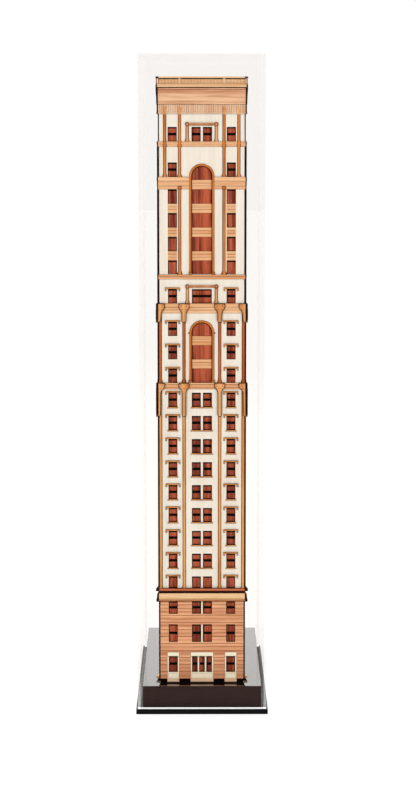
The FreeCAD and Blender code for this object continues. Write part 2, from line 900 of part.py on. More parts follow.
trim_pieces = {
    "ground_surrounds": (main_walls, ground_surrounds),
    "entrance_steps": (main_walls, entrance_steps),
    "foot_boards": (main_walls, foot_boards),
    "base_mullions": (main_walls, base_mullions),
    "roll_moulding": (main_walls, roll_moulding),
    "ledges": (main_walls, ledges),
    "pilasters": (main_walls, pilasters),
    "lower_brackets": (main_walls, lower_brackets),
    "lower_belts": (main_walls, lower_belts),
    "upper_brackets": (main_walls, upper_brackets),
    "upper_belts": (main_walls, upper_belts),
    "tower_foot_belts": (main_walls, tower_foot_belts),
    "arch_bands": (tower_walls, arch_bands),
    "tower_belts": (tower_walls, tower_belts),
    "arch_frames": (main_walls, arch_frames),
    "spandrel_panels": (list(wall_names.values()), spandrels),
    "window_frames": (tower_walls, window_frames),
    "window_hoods": (main_walls, window_hoods),
    "window_sills": (main_walls, window_sills),
    "colonettes": (tower_walls, colonettes),
    "corner_strips": ([left, right], corner_strips),
    "corbel_tables": (tower_walls, corbel_tables),
    "cove_cornices": (tower_walls, cove_cornices),
    "parapet_boards": (tower_walls, parapet_boards),
    "parapet_rails": (tower_walls, parapet_rails),
    "parapet_posts": (tower_walls, parapet_posts),
    "wing_parapets": ([left, right, rear], wing_parapets),
}


def all_pieces():
    pieces = {**stand_pieces(), **case_pieces(), **core_pieces(), **skin_pieces()}
    for name, (walls, make) in trim_pieces.items():
        pieces[name] = on_walls(walls, make)
    return pieces


os.makedirs("parts", exist_ok=True)
for name, shape in all_pieces().items():
    print(name, len(shape.Solids), round(shape.Volume, 1), shape.isValid())
    shape.exportStep("parts/" + name + ".step")
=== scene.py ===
# Dresses the frame of a layered wooden model of a tower block under a clear case: the
# building's cut and moulded trim, every finish, the camera, the lamps and the floor.
# Levels and the plan come from the frame's own nodes.

import json
import math

import bpy
import numpy as np
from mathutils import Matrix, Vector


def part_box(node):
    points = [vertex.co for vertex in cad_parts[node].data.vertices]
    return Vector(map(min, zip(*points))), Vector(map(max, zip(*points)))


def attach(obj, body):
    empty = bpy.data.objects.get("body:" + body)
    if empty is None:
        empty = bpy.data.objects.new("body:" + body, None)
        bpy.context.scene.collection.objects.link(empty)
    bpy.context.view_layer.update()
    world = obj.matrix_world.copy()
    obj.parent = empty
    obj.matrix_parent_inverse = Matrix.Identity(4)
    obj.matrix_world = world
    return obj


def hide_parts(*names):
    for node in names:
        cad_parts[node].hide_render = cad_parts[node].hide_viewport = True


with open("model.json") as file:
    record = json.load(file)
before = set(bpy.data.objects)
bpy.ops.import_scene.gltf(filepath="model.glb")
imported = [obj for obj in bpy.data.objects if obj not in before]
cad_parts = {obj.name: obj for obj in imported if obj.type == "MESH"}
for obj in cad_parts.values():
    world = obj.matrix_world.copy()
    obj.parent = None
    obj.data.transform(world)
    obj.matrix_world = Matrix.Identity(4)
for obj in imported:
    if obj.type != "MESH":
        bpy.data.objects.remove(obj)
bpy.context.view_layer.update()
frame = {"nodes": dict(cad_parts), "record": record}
nodes = frame["nodes"]
MM = 0.001
UP = np.array([0.0, 0.0, 1.0])


# ---------- sizes, in mm ----------

# Storeys and bays
storey = 28.2
mid_rows = 9
arcade_rows = 3
tower_rows = 4
wing_bays = 4
bay_pitch = 35.1  # centre of the middle bay to the side windows
window_width = 10.9
window_height = 17.0
low_window_height = 14.3  # the row that the ledge cuts
pair_gap = 2.6
wide_window = 23.8
rear_strip_inset = 16.9  # tower's rear corner to its window strips
strip_lift = 0.6  # tower foot belt to the arched window
arch_inner = 12.3
arch_outer = 15.0
arch_crown_gap = 8.4  # lower arch to the upper belt
tower_crown_gap = 20.0  # tower arch to the tower belt

# Base storeys
second_sill = 46.2  # foot band to the second storey's windows
second_window_height = 21.9
third_sill = 81.4
ground_sill = 8.9
ground_window_height = 19.5
ground_window = 10.6
shop_window = 6.6
shop_mullion = 2.1
shop_pitch = shop_window + shop_mullion
shop_width = 3 * shop_window + 2 * shop_mullion
surround_border = 2.0
surround_height = 33.7
mullion_width = 2.2
groove_pitch = 4.4
groove_width = 0.5

# Uprights
post_offset = 21.45  # middle bay to the pilasters beside it
pilaster_width = 4.1
inner_colonette = 26.4
outer_colonette = 44.0
colonette_width = 3.8
corner_strip_width = 3.0

# Brackets
head_width = 13.7
corner_head = 9.3
corner_share = 0.8  # of a stem's width, where it stands on a corner
bracket_taper = 8.0
bracket_lip = 0.8  # how far the head's sides bulge
lower_bracket = (41.3, 6.0, 5.2)  # the height, the head's height and the stem's width
upper_bracket = (23.2, 6.4, 6.0)

# Openings' trim
frame_inner = wide_window / 2 + 3.3
frame_jamb = 4.2
frame_gap = 1.4  # window head to the frame's lintel
frame_lintel = 3.4
hood_reach = 3.5  # window to the hood's end
hood_height = 2.0
hood_drop_width = 1.5
sill_width = window_width + pair_gap - 0.2
sill_height = 1.8

# Crown
rail_height = 5.2
post_width = 2.4
post_end = 1.6
wing_parapet_height = 8.0

# Faces, from the core board's outwards
window_face = 1.0
wall_face = window_face + 1.2
base_face = window_face + 1.6
belt_face = wall_face + 1.3
bracket_face = belt_face + 1.5
step_face = window_face + 6.4
roll_face = base_face + 2.8
ledge_face = wall_face + 3.5
arch_face = wall_face + 1.4
frame_face = wall_face + 1.2
hood_face = wall_face + 1.2
sill_face = wall_face + 1.4
corbel_face = wall_face + 1.5
cornice_face = corbel_face + 0.8
parapet_back = wall_face - 1.0
parapet_face = parapet_back + 2.0
rail_face = parapet_face + 1.3
post_face = parapet_face + 1.0


def span(node):
    """A CAD node's lowest and highest level, in mm."""
    low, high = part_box(node)
    return low.z / MM, high.z / MM


# Levels
foot_z, base_z = span("foot_boards")
roll_z, wall_z = span("roll_moulding")
ledge_z, mid_z = span("ledges")
lower_belt_z, arcade_z = span("lower_belts")
upper_belt_z, attic_z = span("upper_belts")
tower_foot_z, tower_z = span("tower_foot_belts")
band_z, side_storey_z = span("arch_bands")
tower_belt_z, top_storey_z = span("tower_belts")
corbel_z, cove_z = span("corbel_tables")
roof_z, top_rail_z = span("parapet_boards")
building_top = span("parapet_rails")[1]
arcade_spring = upper_belt_z - arch_crown_gap - arch_outer
tower_spring = tower_belt_z - tower_crown_gap - arch_outer

# Plan
front_low, front_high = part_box("core_front_board")
rear_low, rear_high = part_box("core_rear_board")
core_front = front_low.y / MM
core_rear = rear_high.y / MM
core_length = core_rear - core_front
half_front = front_high.x / MM
slant = math.atan2(front_high.x - rear_high.x, rear_low.y - front_low.y)
cos_slant = math.cos(slant)
sin_slant = math.sin(slant)
tower_rear_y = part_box("core_tower_rear_board")[1].y / MM
tower_length = tower_rear_y - core_front
tower_side = tower_length / cos_slant
bay_width = (core_length / cos_slant - tower_side) / wing_bays


def half_width(y, w=0.0):
    """Half the plan's width at y, w outside the side boards' outer face."""
    return half_front - (y - core_front) * math.tan(slant) + w / cos_slant


def beside(places, reach):
    """The two places that are a reach to each side of every place."""
    return [u + side * reach for u in places for side in (-1, 1)]


def paired(places):
    """The middles of the windows in the pairs at the places."""
    return beside(places, (pair_gap + window_width) / 2)


# ---------- walls ----------

class Wall:
    """A face of the core: u runs along it, w stands out of it and z is the height."""

    def __init__(self, origin, along, out, ends, tower_ends=None):
        self.origin = np.array([*origin, 0.0])
        self.along = np.array([*along, 0.0])
        self.out = np.array([*out, 0.0])
        self.ends = ends
        self.tower_ends = tower_ends or ends
        self.singles = []
        self.pairs = []
        self.tower_singles = []
        self.tower_pairs = []
        self.posts = []
        self.colonettes = []
        self.short_colonettes = []

    def at(self, u, w, z):
        """Points in metres: the origin, plus u along, plus w out, plus z up."""
        u, w, z = (part[..., None] for part in np.broadcast_arrays(u, w, z))
        return (self.origin + u * self.along + w * self.out + z * UP) * MM


def across(y, deep):
    """The ends of a wall that crosses the plan, between the side walls' trim."""
    def ends(w0, w1):
        half = half_width(y + deep * w1, w0)
        return -half, half
    return ends


def along_side(length):
    """The ends of a side wall's trim, which covers the end of the front wall's."""
    def ends(w0, w1):
        start = -(w1 + w0 * sin_slant) / cos_slant
        return start, (length + w1 - w1 * sin_slant) / cos_slant
    return ends


def make_front():
    """The front, with u from left to right about the middle bay."""
    wall = Wall((0, core_front), (1, 0), (0, -1), across(core_front, 0))
    wall.singles = beside([0.0], bay_pitch)
    wall.pairs = [0.0]
    wall.tower_singles = wall.singles
    wall.tower_pairs = wall.pairs
    wall.posts = beside([0.0], post_offset)
    wall.colonettes = beside([0.0], inner_colonette)
    wall.short_colonettes = beside([0.0], outer_colonette)
    return wall


def make_side(sign):
    """The right side for sign 1 and the left side for -1, with u from front to rear."""
    wall = Wall((sign * half_front, core_front), (-sign * sin_slant, cos_slant),
                (sign * cos_slant, sin_slant), along_side(core_length),
                along_side(tower_length))
    middle = tower_side / 2
    wing = [tower_side + bay_width * (bay + 0.5) for bay in range(wing_bays)]
    wall.singles = beside([middle], bay_pitch)
    wall.pairs = [middle, *wing]
    wall.tower_singles = wall.singles
    wall.tower_pairs = [middle]
    wall.posts = beside([middle], post_offset)
    wall.posts += [tower_side + bay_width * bay for bay in range(wing_bays)]
    wall.colonettes = beside([middle], inner_colonette)
    wall.short_colonettes = beside([middle], outer_colonette)
    return wall


def make_rear():
    """The narrow rear of the wing, with one bay."""
    wall = Wall((0, core_rear), (-1, 0), (0, 1), across(core_rear, 1))
    wall.pairs = [0.0]
    return wall


def make_tower_rear():
    """The tower's rear over the wing's roof, with a window strip at each side."""
    wall = Wall((0, tower_rear_y), (-1, 0), (0, 1), across(tower_rear_y, 1))
    strip = half_width(tower_rear_y) - rear_strip_inset
    reach = (outer_colonette - inner_colonette) / 2
    wall.tower_singles = beside([0.0], strip)
    wall.colonettes = beside([0.0], strip - reach)
    wall.short_colonettes = beside([0.0], strip + reach)
    return wall


front = make_front()
right = make_side(1)
left = make_side(-1)
rear = make_rear()
tower_rear = make_tower_rear()
main_walls = [front, left, right, rear]
tower_walls = [front, left, right, tower_rear]
every_wall = [front, left, right, rear, tower_rear]


def window_rows(sill, count):
    """The bottom and top of each row of windows, one to a storey from the first sill up."""
    return [(sill + row * storey, sill + row * storey + window_height) for row in range(count)]


mid_levels = window_rows(mid_z + low_window_height + storey - window_height, mid_rows - 1)
arcade_levels = window_rows(arcade_z, arcade_rows)
tower_levels = window_rows(tower_z, tower_rows)
second_levels = (base_z + second_sill, base_z + second_sill + second_window_height)
third_levels = (base_z + third_sill, roll_z)
ground_levels = (base_z + ground_sill, base_z + ground_sill + ground_window_height)
attic_levels = (attic_z, attic_z + window_height)
top_levels = (top_storey_z, top_storey_z + window_height)


# ---------- surfaces ----------

class Surface:
    """Gathers closed shapes, and makes one mesh of them."""

    def __init__(self):
        self.points = []
        self.faces = []
        self.char_and_shade = []
        self.count = 0

    def stack(self, points, sides=0.0, ends=(0.0, 0.0)):
        """Joins rings of points into closed shapes. points is shape by ring by corner by 3.

        Each ring is joined to the next by a belt of four-cornered faces, and the first
        and the last ring are closed by one face each. sides, ring by corner, and ends
        say how dark those faces are, for burnt edges and for painted shade. The faces turn
        round where the rings run clockwise as seen from the way that they are stacked.
        """
        shapes, rings, corners = points.shape[:3]
        first = self.count + np.arange(shapes)[:, None, None] * rings * corners
        start = first + np.arange(rings - 1)[:, None] * corners
        corner = np.arange(corners)
        after = np.roll(corner, -1)
        belt = np.stack([start + corner, start + after, start + corners + after,
                         start + corners + corner], axis=-1)
        low = first[:, 0] + corner[::-1]
        high = first[:, 0] + (rings - 1) * corners + corner
        ring = points[0, 0]
        facing = np.cross(ring, np.roll(ring, -1, axis=0)).sum(axis=0)
        turn = -1 if facing @ (points[0, 1] - ring).mean(axis=0) < 0 else 1
        for faces in (belt.reshape(-1, 4), low, high):
            self.faces += faces[:, ::turn].tolist()
        self.points.append(points.reshape(-1, 3))
        self.char_and_shade.append(np.broadcast_to(sides, (shapes, rings - 1, corners)).ravel())
        self.char_and_shade += [np.full(shapes, end) for end in ends]
        self.count += shapes * rings * corners

    def piece(self, name, slot, finish, *replaced, smooth=True):
        """One object on the base body, in its finish, standing for the CAD nodes named."""
        mesh = bpy.data.meshes.new(name)
        mesh.from_pydata(np.concatenate(self.points).tolist(), [], self.faces)
        char_and_shade = mesh.attributes.new("char_and_shade", "FLOAT", "FACE")
        char_and_shade.data.foreach_set("value", np.concatenate(self.char_and_shade))
        if smooth:
            mesh.polygons.foreach_set("use_smooth", np.ones(len(self.faces), bool))
            mesh.set_sharp_from_angle(angle=math.radians(32))
        mesh.materials.append(finish)
        made = bpy.data.objects.new(name, mesh)
        bpy.context.collection.objects.link(made)
        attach(made, "base")
        if replaced:
            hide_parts(*replaced)
        return made


def inset(outline, amount):
    """Draws outlines in. Each corner moves along the sum of its two edges' inward normals,
    times twice the amount over that sum's squared length."""
    ahead = np.roll(outline, -1, axis=-2) - outline
    ahead = ahead / np.linalg.norm(ahead, axis=-1, keepdims=True)
    inward = np.stack([-ahead[..., 1], ahead[..., 0]], axis=-1)
    both = inward + np.roll(inward, 1, axis=-2)
    return outline + 2 * amount * both / (both ** 2).sum(axis=-1, keepdims=True)


def box_outline(u0, u1, z0, z1):
    """Rectangles, anticlockwise, from arrays of their ends."""
    u0, u1, z0, z1 = np.broadcast_arrays(u0, u1, z0, z1)
    return np.stack([np.stack([u0, z0], -1), np.stack([u1, z0], -1),
                     np.stack([u1, z1], -1), np.stack([u0, z1], -1)], axis=-2).astype(float)


def plates(surface, wall, outlines, layers, char_and_shade=1.0, face_char_and_shade=0.0):
    """Flat shapes that stand out of a wall. layers is a row of (w, inset): each ring is the
    outline drawn in by the inset, at w. char says how dark the sides and the back are, for
    burnt edges and for painted shade."""
    outlines = np.asarray(outlines, float)
    if outlines.ndim == 2:
        outlines = outlines[None]
    rings = [wall.at(drawn[..., 0], w, drawn[..., 1])
             for w, amount in layers for drawn in [inset(outlines, amount)]]
    surface.stack(np.stack(rings, axis=1), char_and_shade, (char_and_shade, face_char_and_shade))


def blocks(surface, wall, u0, u1, z0, z1, w0, w1, edge=0.3, char_and_shade=1.0, face_char_and_shade=0.0):
    """Blocks whose front edges are cut off at 45 degrees."""
    outlines = box_outline(u0, u1, z0, z1).reshape(-1, 4, 2)
    plates(surface, wall, outlines, ((w0, 0.0), (w1 - edge, 0.0), (w1, edge)), char_and_shade, face_char_and_shade)


def courses(surface, wall, profile, u0, u1, end_char=1.0):
    """Mouldings: a closed profile of (w, z, char) carried along the wall from u0 to u1.
    The char belongs to the face between a point and the next one."""
    profile = np.asarray(profile, float)
    ends = np.stack(np.broadcast_arrays(np.atleast_1d(u0), u1), axis=-1)[..., None]
    points = wall.at(ends, profile[:, 0], profile[:, 1])
    surface.stack(points, profile[:, 2], (end_char, end_char))


def turned(surface, wall, places, levels, half, depth, w0, side_char_and_shade=0.9, facets=7):
    """Half-round uprights. At each level the section is half an ellipse, half wide to each
    side of its place and depth out of w0, with a flat back. The facets beside the wall are
    black and the next ones are darkened by the argument after w0: burnt edges and painted
    shade on the round's sides."""
    angle = np.linspace(0, np.pi, facets + 1)
    places = np.asarray(places, float)[:, None, None]
    levels, half, depth = (np.asarray(part, float)[:, None] for part in (levels, half, depth))
    points = wall.at(places + half * np.cos(angle), w0 + depth * np.sin(angle), levels)
    char_and_shade = np.zeros(facets + 1)
    char_and_shade[[0, facets - 1, facets]] = 1.0
    char_and_shade[[1, facets - 2]] = side_char_and_shade
    surface.stack(points, char_and_shade, (1.0, 0.6))


def reeded(surface, wall, u0, u1, z0, z1, w0, w1, pitch, depth):
    """Boards with upright reeds: w is w1 less depth times the distance, over half the
    pitch, from the middle of the nearest reed, squared."""
    count = max(1, round((u1 - u0) / pitch))
    share = np.linspace(0, count, count * 4 + 1)
    u = u0 + (u1 - u0) * share / count
    w = w1 - depth * (2 * (share % 1.0) - 1.0) ** 2
    u = np.concatenate([u, [u1, u0]])
    w = np.concatenate([w, [w0, w0]])
    char_and_shade = np.zeros(len(u))
    char_and_shade[:-3:4] = char_and_shade[3:-3:4] = 0.35
    char_and_shade[-3:] = 1.0
    points = wall.at(u, w, np.array([[z0], [z1]]))[None]
    surface.stack(points, char_and_shade, (1.0, 0.6))


def arch_sweeps(surface, wall, places, foot, spring, section):
    """Bars round an arch: a section of (r, w, char) carried up one jamb, round the
    half-circle at r from its centre, and down the other jamb."""
    section = np.asarray(section, float)
    angle = np.linspace(0, np.pi, 19)[:, None]
    r = section[:, 0]
    u = np.concatenate([r[None], r * np.cos(angle), -r[None]])
    z = np.concatenate([0 * r[None] + foot, spring + r * np.sin(angle), 0 * r[None] + foot])
    places = np.asarray(places, float)[:, None, None]
    surface.stack(wall.at(places + u, section[:, 1], z), section[:, 2], (1.0, 1.0))


def discs(surface, wall, u, z, radius, layers, char_and_shade=1.0, face_char_and_shade=0.0):
    """Round bosses of twelve sides, one at each (u, z)."""
    angle = np.linspace(0, 2 * np.pi, 12, endpoint=False)
    round_line = radius * np.stack([np.cos(angle), np.sin(angle)], axis=-1)
    u, z = np.broadcast_arrays(np.atleast_1d(np.asarray(u, float)), z)
    centre = np.stack([u, z], axis=-1).reshape(-1, 1, 2)
    plates(surface, wall, centre + round_line, layers, char_and_shade, face_char_and_shade)


# ---------- sashes ----------

def plain_windows(wall):
    """(middle, bottom, top, width) of each window that has a meeting bar."""
    rows = []
    if wall is not tower_rear:
        mid = wall.singles + paired(wall.pairs)
        rows += [(u, z0, z1, window_width) for u in mid for z0, z1 in mid_levels]
        rows += [(u, z0, z1, window_width) for u in wall.singles
                 for z0, z1 in [*arcade_levels, attic_levels]]
        rows += [(u, *attic_levels, wide_window) for u in wall.pairs]
        rows += [(u, z0, z1, window_width) for u in mid for z0, z1 in (second_levels, third_levels)]
        rows += [(u, *ground_levels, ground_window) for u in wall.singles]
        rows += [(u + i * shop_pitch, *ground_levels, shop_window) for u in wall.pairs
                 for i in (-1, 0, 1)]
    if wall is not rear:
        top = wall.tower_singles + paired(wall.tower_pairs)
        rows += [(u, *top_levels, window_width) for u in top]
        rows += [(u, side_storey_z, side_storey_z + window_height, window_width)
                 for u in wall.tower_singles]
    return rows


def blind_windows(wall):
    """(middle, bottom, top, width) of each window without a meeting bar."""
    rows = []
    if wall is not tower_rear:
        mid = wall.singles + paired(wall.pairs)
        rows += [(u, mid_z, mid_z + low_window_height, window_width) for u in mid]
    if wall is not rear:
        rows += [(u, z0, z1, window_width) for u in wall.tower_singles for z0, z1 in tower_levels]
    return rows


def sash_frames_and_shadow(surface, wall, windows):
    """Thin black bars round the inside of each opening: a deep head that paints the shadow
    under the opening's head, and narrow stiles and a foot, burnt edges with painted shade.
    """
    head, stile, foot, out = 1.8, 0.9, 0.6, 0.5
    u, z0, z1, width = windows.T
    left_u, right_u = u - width / 2, u + width / 2
    layer = (window_face, window_face + out, 0.1)
    blocks(surface, wall, left_u, right_u, z1 - head, z1, *layer, face_char_and_shade=1.0)
    blocks(surface, wall, left_u, right_u, z0, z0 + foot, *layer, face_char_and_shade=1.0)
    blocks(surface, wall, left_u, left_u + stile, z0 + foot, z1 - head, *layer, face_char_and_shade=1.0)
    blocks(surface, wall, right_u - stile, right_u, z0 + foot, z1 - head, *layer, face_char_and_shade=1.0)


def make_sashes(finish):
    """The black bars of every window: its frame, whose deep head is painted shadow under the
    opening's head, its meeting bar and, in an arched opening, a slanting bead that follows
    the arch and paints the shadow and burnt edge inside it."""
    surface = Surface()
    bar, out, stile, bead = 2.9, 0.8, 0.9, 0.8
    for wall in every_wall:
        plain = plain_windows(wall)
        sash_frames_and_shadow(surface, wall, np.array([*plain, *blind_windows(wall)]))
        u, z0, z1, width = np.array(plain).T
        middle = (z0 + z1) / 2
        blocks(surface, wall, u - width / 2 + stile, u + width / 2 - stile, middle - bar / 2,
               middle + bar / 2, window_face, window_face + out, 0.2, face_char_and_shade=1.0)
        arches = [(wall.pairs, arcade_z, arcade_spring)] if wall is not tower_rear else []
        if wall.tower_pairs:
            arches.append((wall.tower_pairs, tower_z + strip_lift, tower_spring))
        for places, foot, spring in arches:
            inner = arch_inner - bead
            arch_sweeps(surface, wall, places, foot, spring,
                        [(inner, window_face, 1), (inner, window_face + 0.9, 1),
                         (arch_inner, wall_face - 0.05, 1), (arch_inner, window_face, 1)])
    return surface.piece("window_sashes_and_shadow", "burnt_black", finish, smooth=False)


# ---------- base storeys ----------

def make_surrounds(finish):
    """Pale panels round the ground storey's windows, with a raised field under the sill."""
    surface = Surface()
    z0, z1 = base_z, base_z + surround_height
    sill, head = ground_levels
    face, field = base_face + 0.9, 0.35
    for wall in main_walls:
        sizes = [(u, ground_window / 2, ()) for u in wall.singles]
        sizes += [(u, shop_width / 2, (-shop_pitch / 2, shop_pitch / 2)) for u in wall.pairs]
        for u, half, mullions in sizes:
            outer = half + surround_border
            blocks(surface, wall, u - outer, u + outer, head, z1, base_face, face, 0.35, 0.55)
            blocks(surface, wall, u - outer, u + outer, z0, sill, base_face, face, 0.35, 0.55)
            blocks(surface, wall, u - outer + 1.2, u + outer - 1.2, z0 + 1.4, sill - 1.6,
                   face, face + field, 0.3, 0.4)
            for jamb in beside([u], half + surround_border / 2):
                blocks(surface, wall, jamb - surround_border / 2, jamb + surround_border / 2,
                       sill, head, base_face, face, 0.3, 0.55)
            for place in mullions:
                blocks(surface, wall, u + place - shop_mullion / 2, u + place + shop_mullion / 2,
                       sill, head, window_face, face, 0.3, 0.4)
    return surface.piece("window_surrounds", "surround_maple", finish, "ground_surrounds")


def make_steps(finish):
    """A tread with a rounded nose under each doorway, over a riser set back whose dark front is
    painted shade in the recess.
    """
    surface = Surface()
    back, nose = window_face, step_face
    z, riser_face = foot_z + 1.5, nose - 2.0
    tread = [(back, z, 1), (nose - 0.4, z, 0.4), (nose - 0.1, z + 0.3, 0), (nose, z + 0.7, 0),
             (nose, base_z - 0.4, 0), (nose - 0.3, base_z, 0), (back, base_z, 0)]
    riser = [(back, foot_z, 1), (riser_face, foot_z, 0.9), (riser_face, z, 1), (back, z, 1)]
    for wall in main_walls:
        sizes = [(u, ground_window / 2 + surround_border) for u in wall.singles]
        sizes += [(u, shop_width / 2 + surround_border) for u in wall.pairs]
        for u, half in sizes:
            courses(surface, wall, tread, u - half, u + half, 0.1)
            courses(surface, wall, riser, u - half, u + half)
    return surface.piece("doorway_steps", "surround_maple", finish, "entrance_steps")


def make_mullions(finish):
    """Pale posts between the paired windows of the second and third storeys."""
    surface = Surface()
    half = mullion_width / 2
    z0, z1 = np.array([second_levels, third_levels]).T
    for wall in main_walls:
        u = np.array(wall.pairs)[:, None]
        blocks(surface, wall, u - half, u + half, z0, z1, window_face, base_face + 0.6, 0.3, 0.25)
    return surface.piece("pale_mullions", "surround_maple", finish, "base_mullions")


def make_roll(finish):
    """The roll over the base storeys. Its round nose is at the foot, and over it the face
    leans back as a parabola: 0.75 times t(2 - t), at a share t of the face's height."""
    surface = Surface()
    nose, brow, lean, rise = roll_face, 3.3, 0.75, 6.3
    # The nose's facets darken from the foot up to the brow: painted shade under the roll
    foot = [(base_face, 0.0, 1), (nose - 1.0, 0.0, 1), (nose - 0.4, 0.35, 0.9),
            (nose - 0.1, 0.95, 0.48), (nose, 1.7, 0.42), (nose - 0.1, 2.5, 0.36),
            (nose - 0.35, brow, 0.2)]
    face = [(nose - 0.35 - lean * t * (2 - t), brow + rise * t, 0)
            for t in np.linspace(0, 1, 6)[1:]]
    height = wall_z - roll_z
    top = [(nose - 1.3, height - 0.3, 0.6), (nose - 1.5, height, 1), (base_face, height, 1)]
    profile = [(w, roll_z + z, char_and_shade) for w, z, char_and_shade in foot + face + top]
    for wall in main_walls:
        courses(surface, wall, profile, *wall.ends(base_face, nose))
    return surface.piece("roll_course", "trim_cherry", finish, "roll_moulding")


def make_ledges(finish):
    """A thin board with a rounded nose, over a black course that paints the shadow under it."""
    surface = Surface()
    z0, z1, nose, shade = ledge_z, mid_z, ledge_face, wall_face + 0.8
    board = [(wall_face, z0, 1), (nose - 0.6, z0, 1), (nose - 0.2, z0 + 0.3, 0.5),
             (nose, z0 + 0.9, 0.1), (nose, z1 - 0.9, 0.1), (nose - 0.2, z1 - 0.3, 0.8),
             (nose - 0.6, z1, 1), (wall_face, z1, 1)]
    shadow = [(wall_face, wall_z, 1), (shade, wall_z, 1), (shade, z0, 1), (wall_face, z0, 1)]
    for wall in main_walls:
        courses(surface, wall, board, *wall.ends(wall_face, nose))
        courses(surface, wall, shadow, *wall.ends(wall_face, shade))
    return surface.piece("ledge_course", "trim_cherry", finish, "ledges")


# ---------- belts and bands ----------

def fasciae(z0, z1, w0, w1, shares, step=0.22, groove=0.5):
    """A face in level strips: each stands a step further out than the one under it, with
    a charred groove between them. shares are the strips' ends, from 0 to 1."""
    height = z1 - z0
    count = len(shares) - 1
    rows = [(w0, z0, 1)]
    for strip in range(count):
        w = w1 - step * (count - 1 - strip)
        low = z0 + shares[strip] * height
        high = z0 + shares[strip + 1] * height
        rows += [(w - 0.3, low, 0.85), (w, low + groove / 2, 0), (w, high - groove / 2, 0.85)]
    return rows + [(w1 - 0.3, z1, 1), (w0, z1, 1)]


def top_belt():
    """The profile of the belt under the top storey: a flat strip, and over it a crown
    whose section is half an ellipse."""
    height = top_storey_z - tower_belt_z
    flat, bulge = belt_face - 0.3, 0.8
    turn = np.linspace(-0.5, 0.5, 7) * np.pi
    crown = [(belt_face - bulge + bulge * math.cos(a),
              tower_belt_z + height * (0.7 + 0.3 * math.sin(a)), 0.1) for a in turn]
    return [(wall_face, tower_belt_z, 1), (flat - 0.3, tower_belt_z, 0.8),
            (flat, tower_belt_z + 0.3, 0), (flat, tower_belt_z + 0.4 * height, 1), *crown,
            (wall_face, top_storey_z, 1)]


def make_belts(finish):
    """The belts, in level strips, and the tower's top belt."""
    surface = Surface()
    rows = [(lower_belt_z, arcade_z, (0, 0.22, 0.74, 1)), (upper_belt_z, attic_z, (0, 0.33, 0.62, 1)),
            (tower_foot_z, tower_z, (0, 0.62, 1))]
    for wall in main_walls:
        for z0, z1, shares in rows:
            courses(surface, wall, fasciae(z0, z1, wall_face, belt_face, shares),
                    *wall.ends(wall_face, belt_face))
    for wall in tower_walls:
        courses(surface, wall, top_belt(), *wall.tower_ends(wall_face, belt_face))
    return surface.piece("moulded_belts", "band_birch", finish, "lower_belts", "upper_belts",
                         "tower_foot_belts", "tower_belts")


def make_bands(finish):
    """The tower's deep band, open where the arch stands."""
    surface = Surface()
    profile = fasciae(band_z, side_storey_z, wall_face, belt_face, (0, 0.27, 0.66, 1))
    for wall in tower_walls:
        u0, u1 = wall.tower_ends(wall_face, belt_face)
        cuts = [u0, *beside(wall.tower_pairs, arch_outer), u1]
        courses(surface, wall, profile, np.array(cuts[::2]), np.array(cuts[1::2]))
    return surface.piece("tower_bands", "band_birch", finish, "arch_bands")


def make_spandrels(finish):
    """Panels between the windows of the arches and the strips, with two level grooves."""
    surface = Surface()
    w0, w1 = window_face, window_face + 0.9
    arcade = [top for _, top in arcade_levels[:-1]]
    shaft = [top for _, top in tower_levels]
    rise = storey - window_height
    for wall in every_wall:
        rows = []
        if wall is not tower_rear:
            rows += [(wall.pairs, z, arch_inner, arcade_spring) for z in arcade]
        if wall is not rear:
            rows += [(wall.tower_singles, z, window_width / 2, band_z) for z in shaft[:-1]]
            if wall.tower_pairs:
                rows += [(wall.tower_pairs, z, arch_inner, tower_spring) for z in shaft]
        for places, z, half, limit in rows:
            u = np.array(places)
            top = min(z + rise, limit)
            profile = fasciae(z, top, w0, w1, (0, 0.36, 0.66, 1), 0.0, 0.4)
            courses(surface, wall, profile, u - half, u + half)
    return surface.piece("window_spandrels", "band_birch", finish, "spandrel_panels")


# ---------- uprights ----------

def flared(levels):
    """Splits (z, half, depth) rows into the three lists that turned takes."""
    return [list(part) for part in zip(*levels)]


def post_places(wall, half):
    """The middles of a wall's uprights, with one at each end."""
    u0, u1 = wall.ends(wall_face, belt_face)
    return [*wall.posts, u0 + half, u1 - half]


def make_pilasters(finish):
    """Half-round uprights of the plain rows, between the ledge and the lower belt."""
    surface = Surface()
    half, depth = pilaster_width / 2, 1.3
    rows = flared([(mid_z, half + 0.5, depth + 0.3), (mid_z + 1.4, half + 0.5, depth + 0.3),
                   (mid_z + 2.2, half, depth), (lower_belt_z, half, depth)])
    for wall in main_walls:
        turned(surface, wall, post_places(wall, half), *rows, wall_face)
    return surface.piece("long_pilasters", "trim_cherry", finish, "pilasters")


def make_arcade_columns(finish):
    """Columns of the arcade: a plinth block, a round base and a slim shaft."""
    surface = Surface()
    half, depth = pilaster_width / 2 - 0.1, 1.3
    z = arcade_z
    rows = flared([(z, half + 1.0, depth + 0.5), (z + 1.2, half + 1.0, depth + 0.5),
                   (z + 1.5, half + 0.5, depth + 0.2), (z + 2.2, half + 0.7, depth + 0.35),
                   (z + 3.0, half + 0.55, depth + 0.25), (z + 3.6, half + 0.1, depth),
                   (z + 4.6, half, depth), (upper_belt_z, half, depth)])
    for wall in main_walls:
        turned(surface, wall, post_places(wall, half), *rows, wall_face)
    return surface.piece("arcade_columns", "trim_cherry", finish, "pilasters")


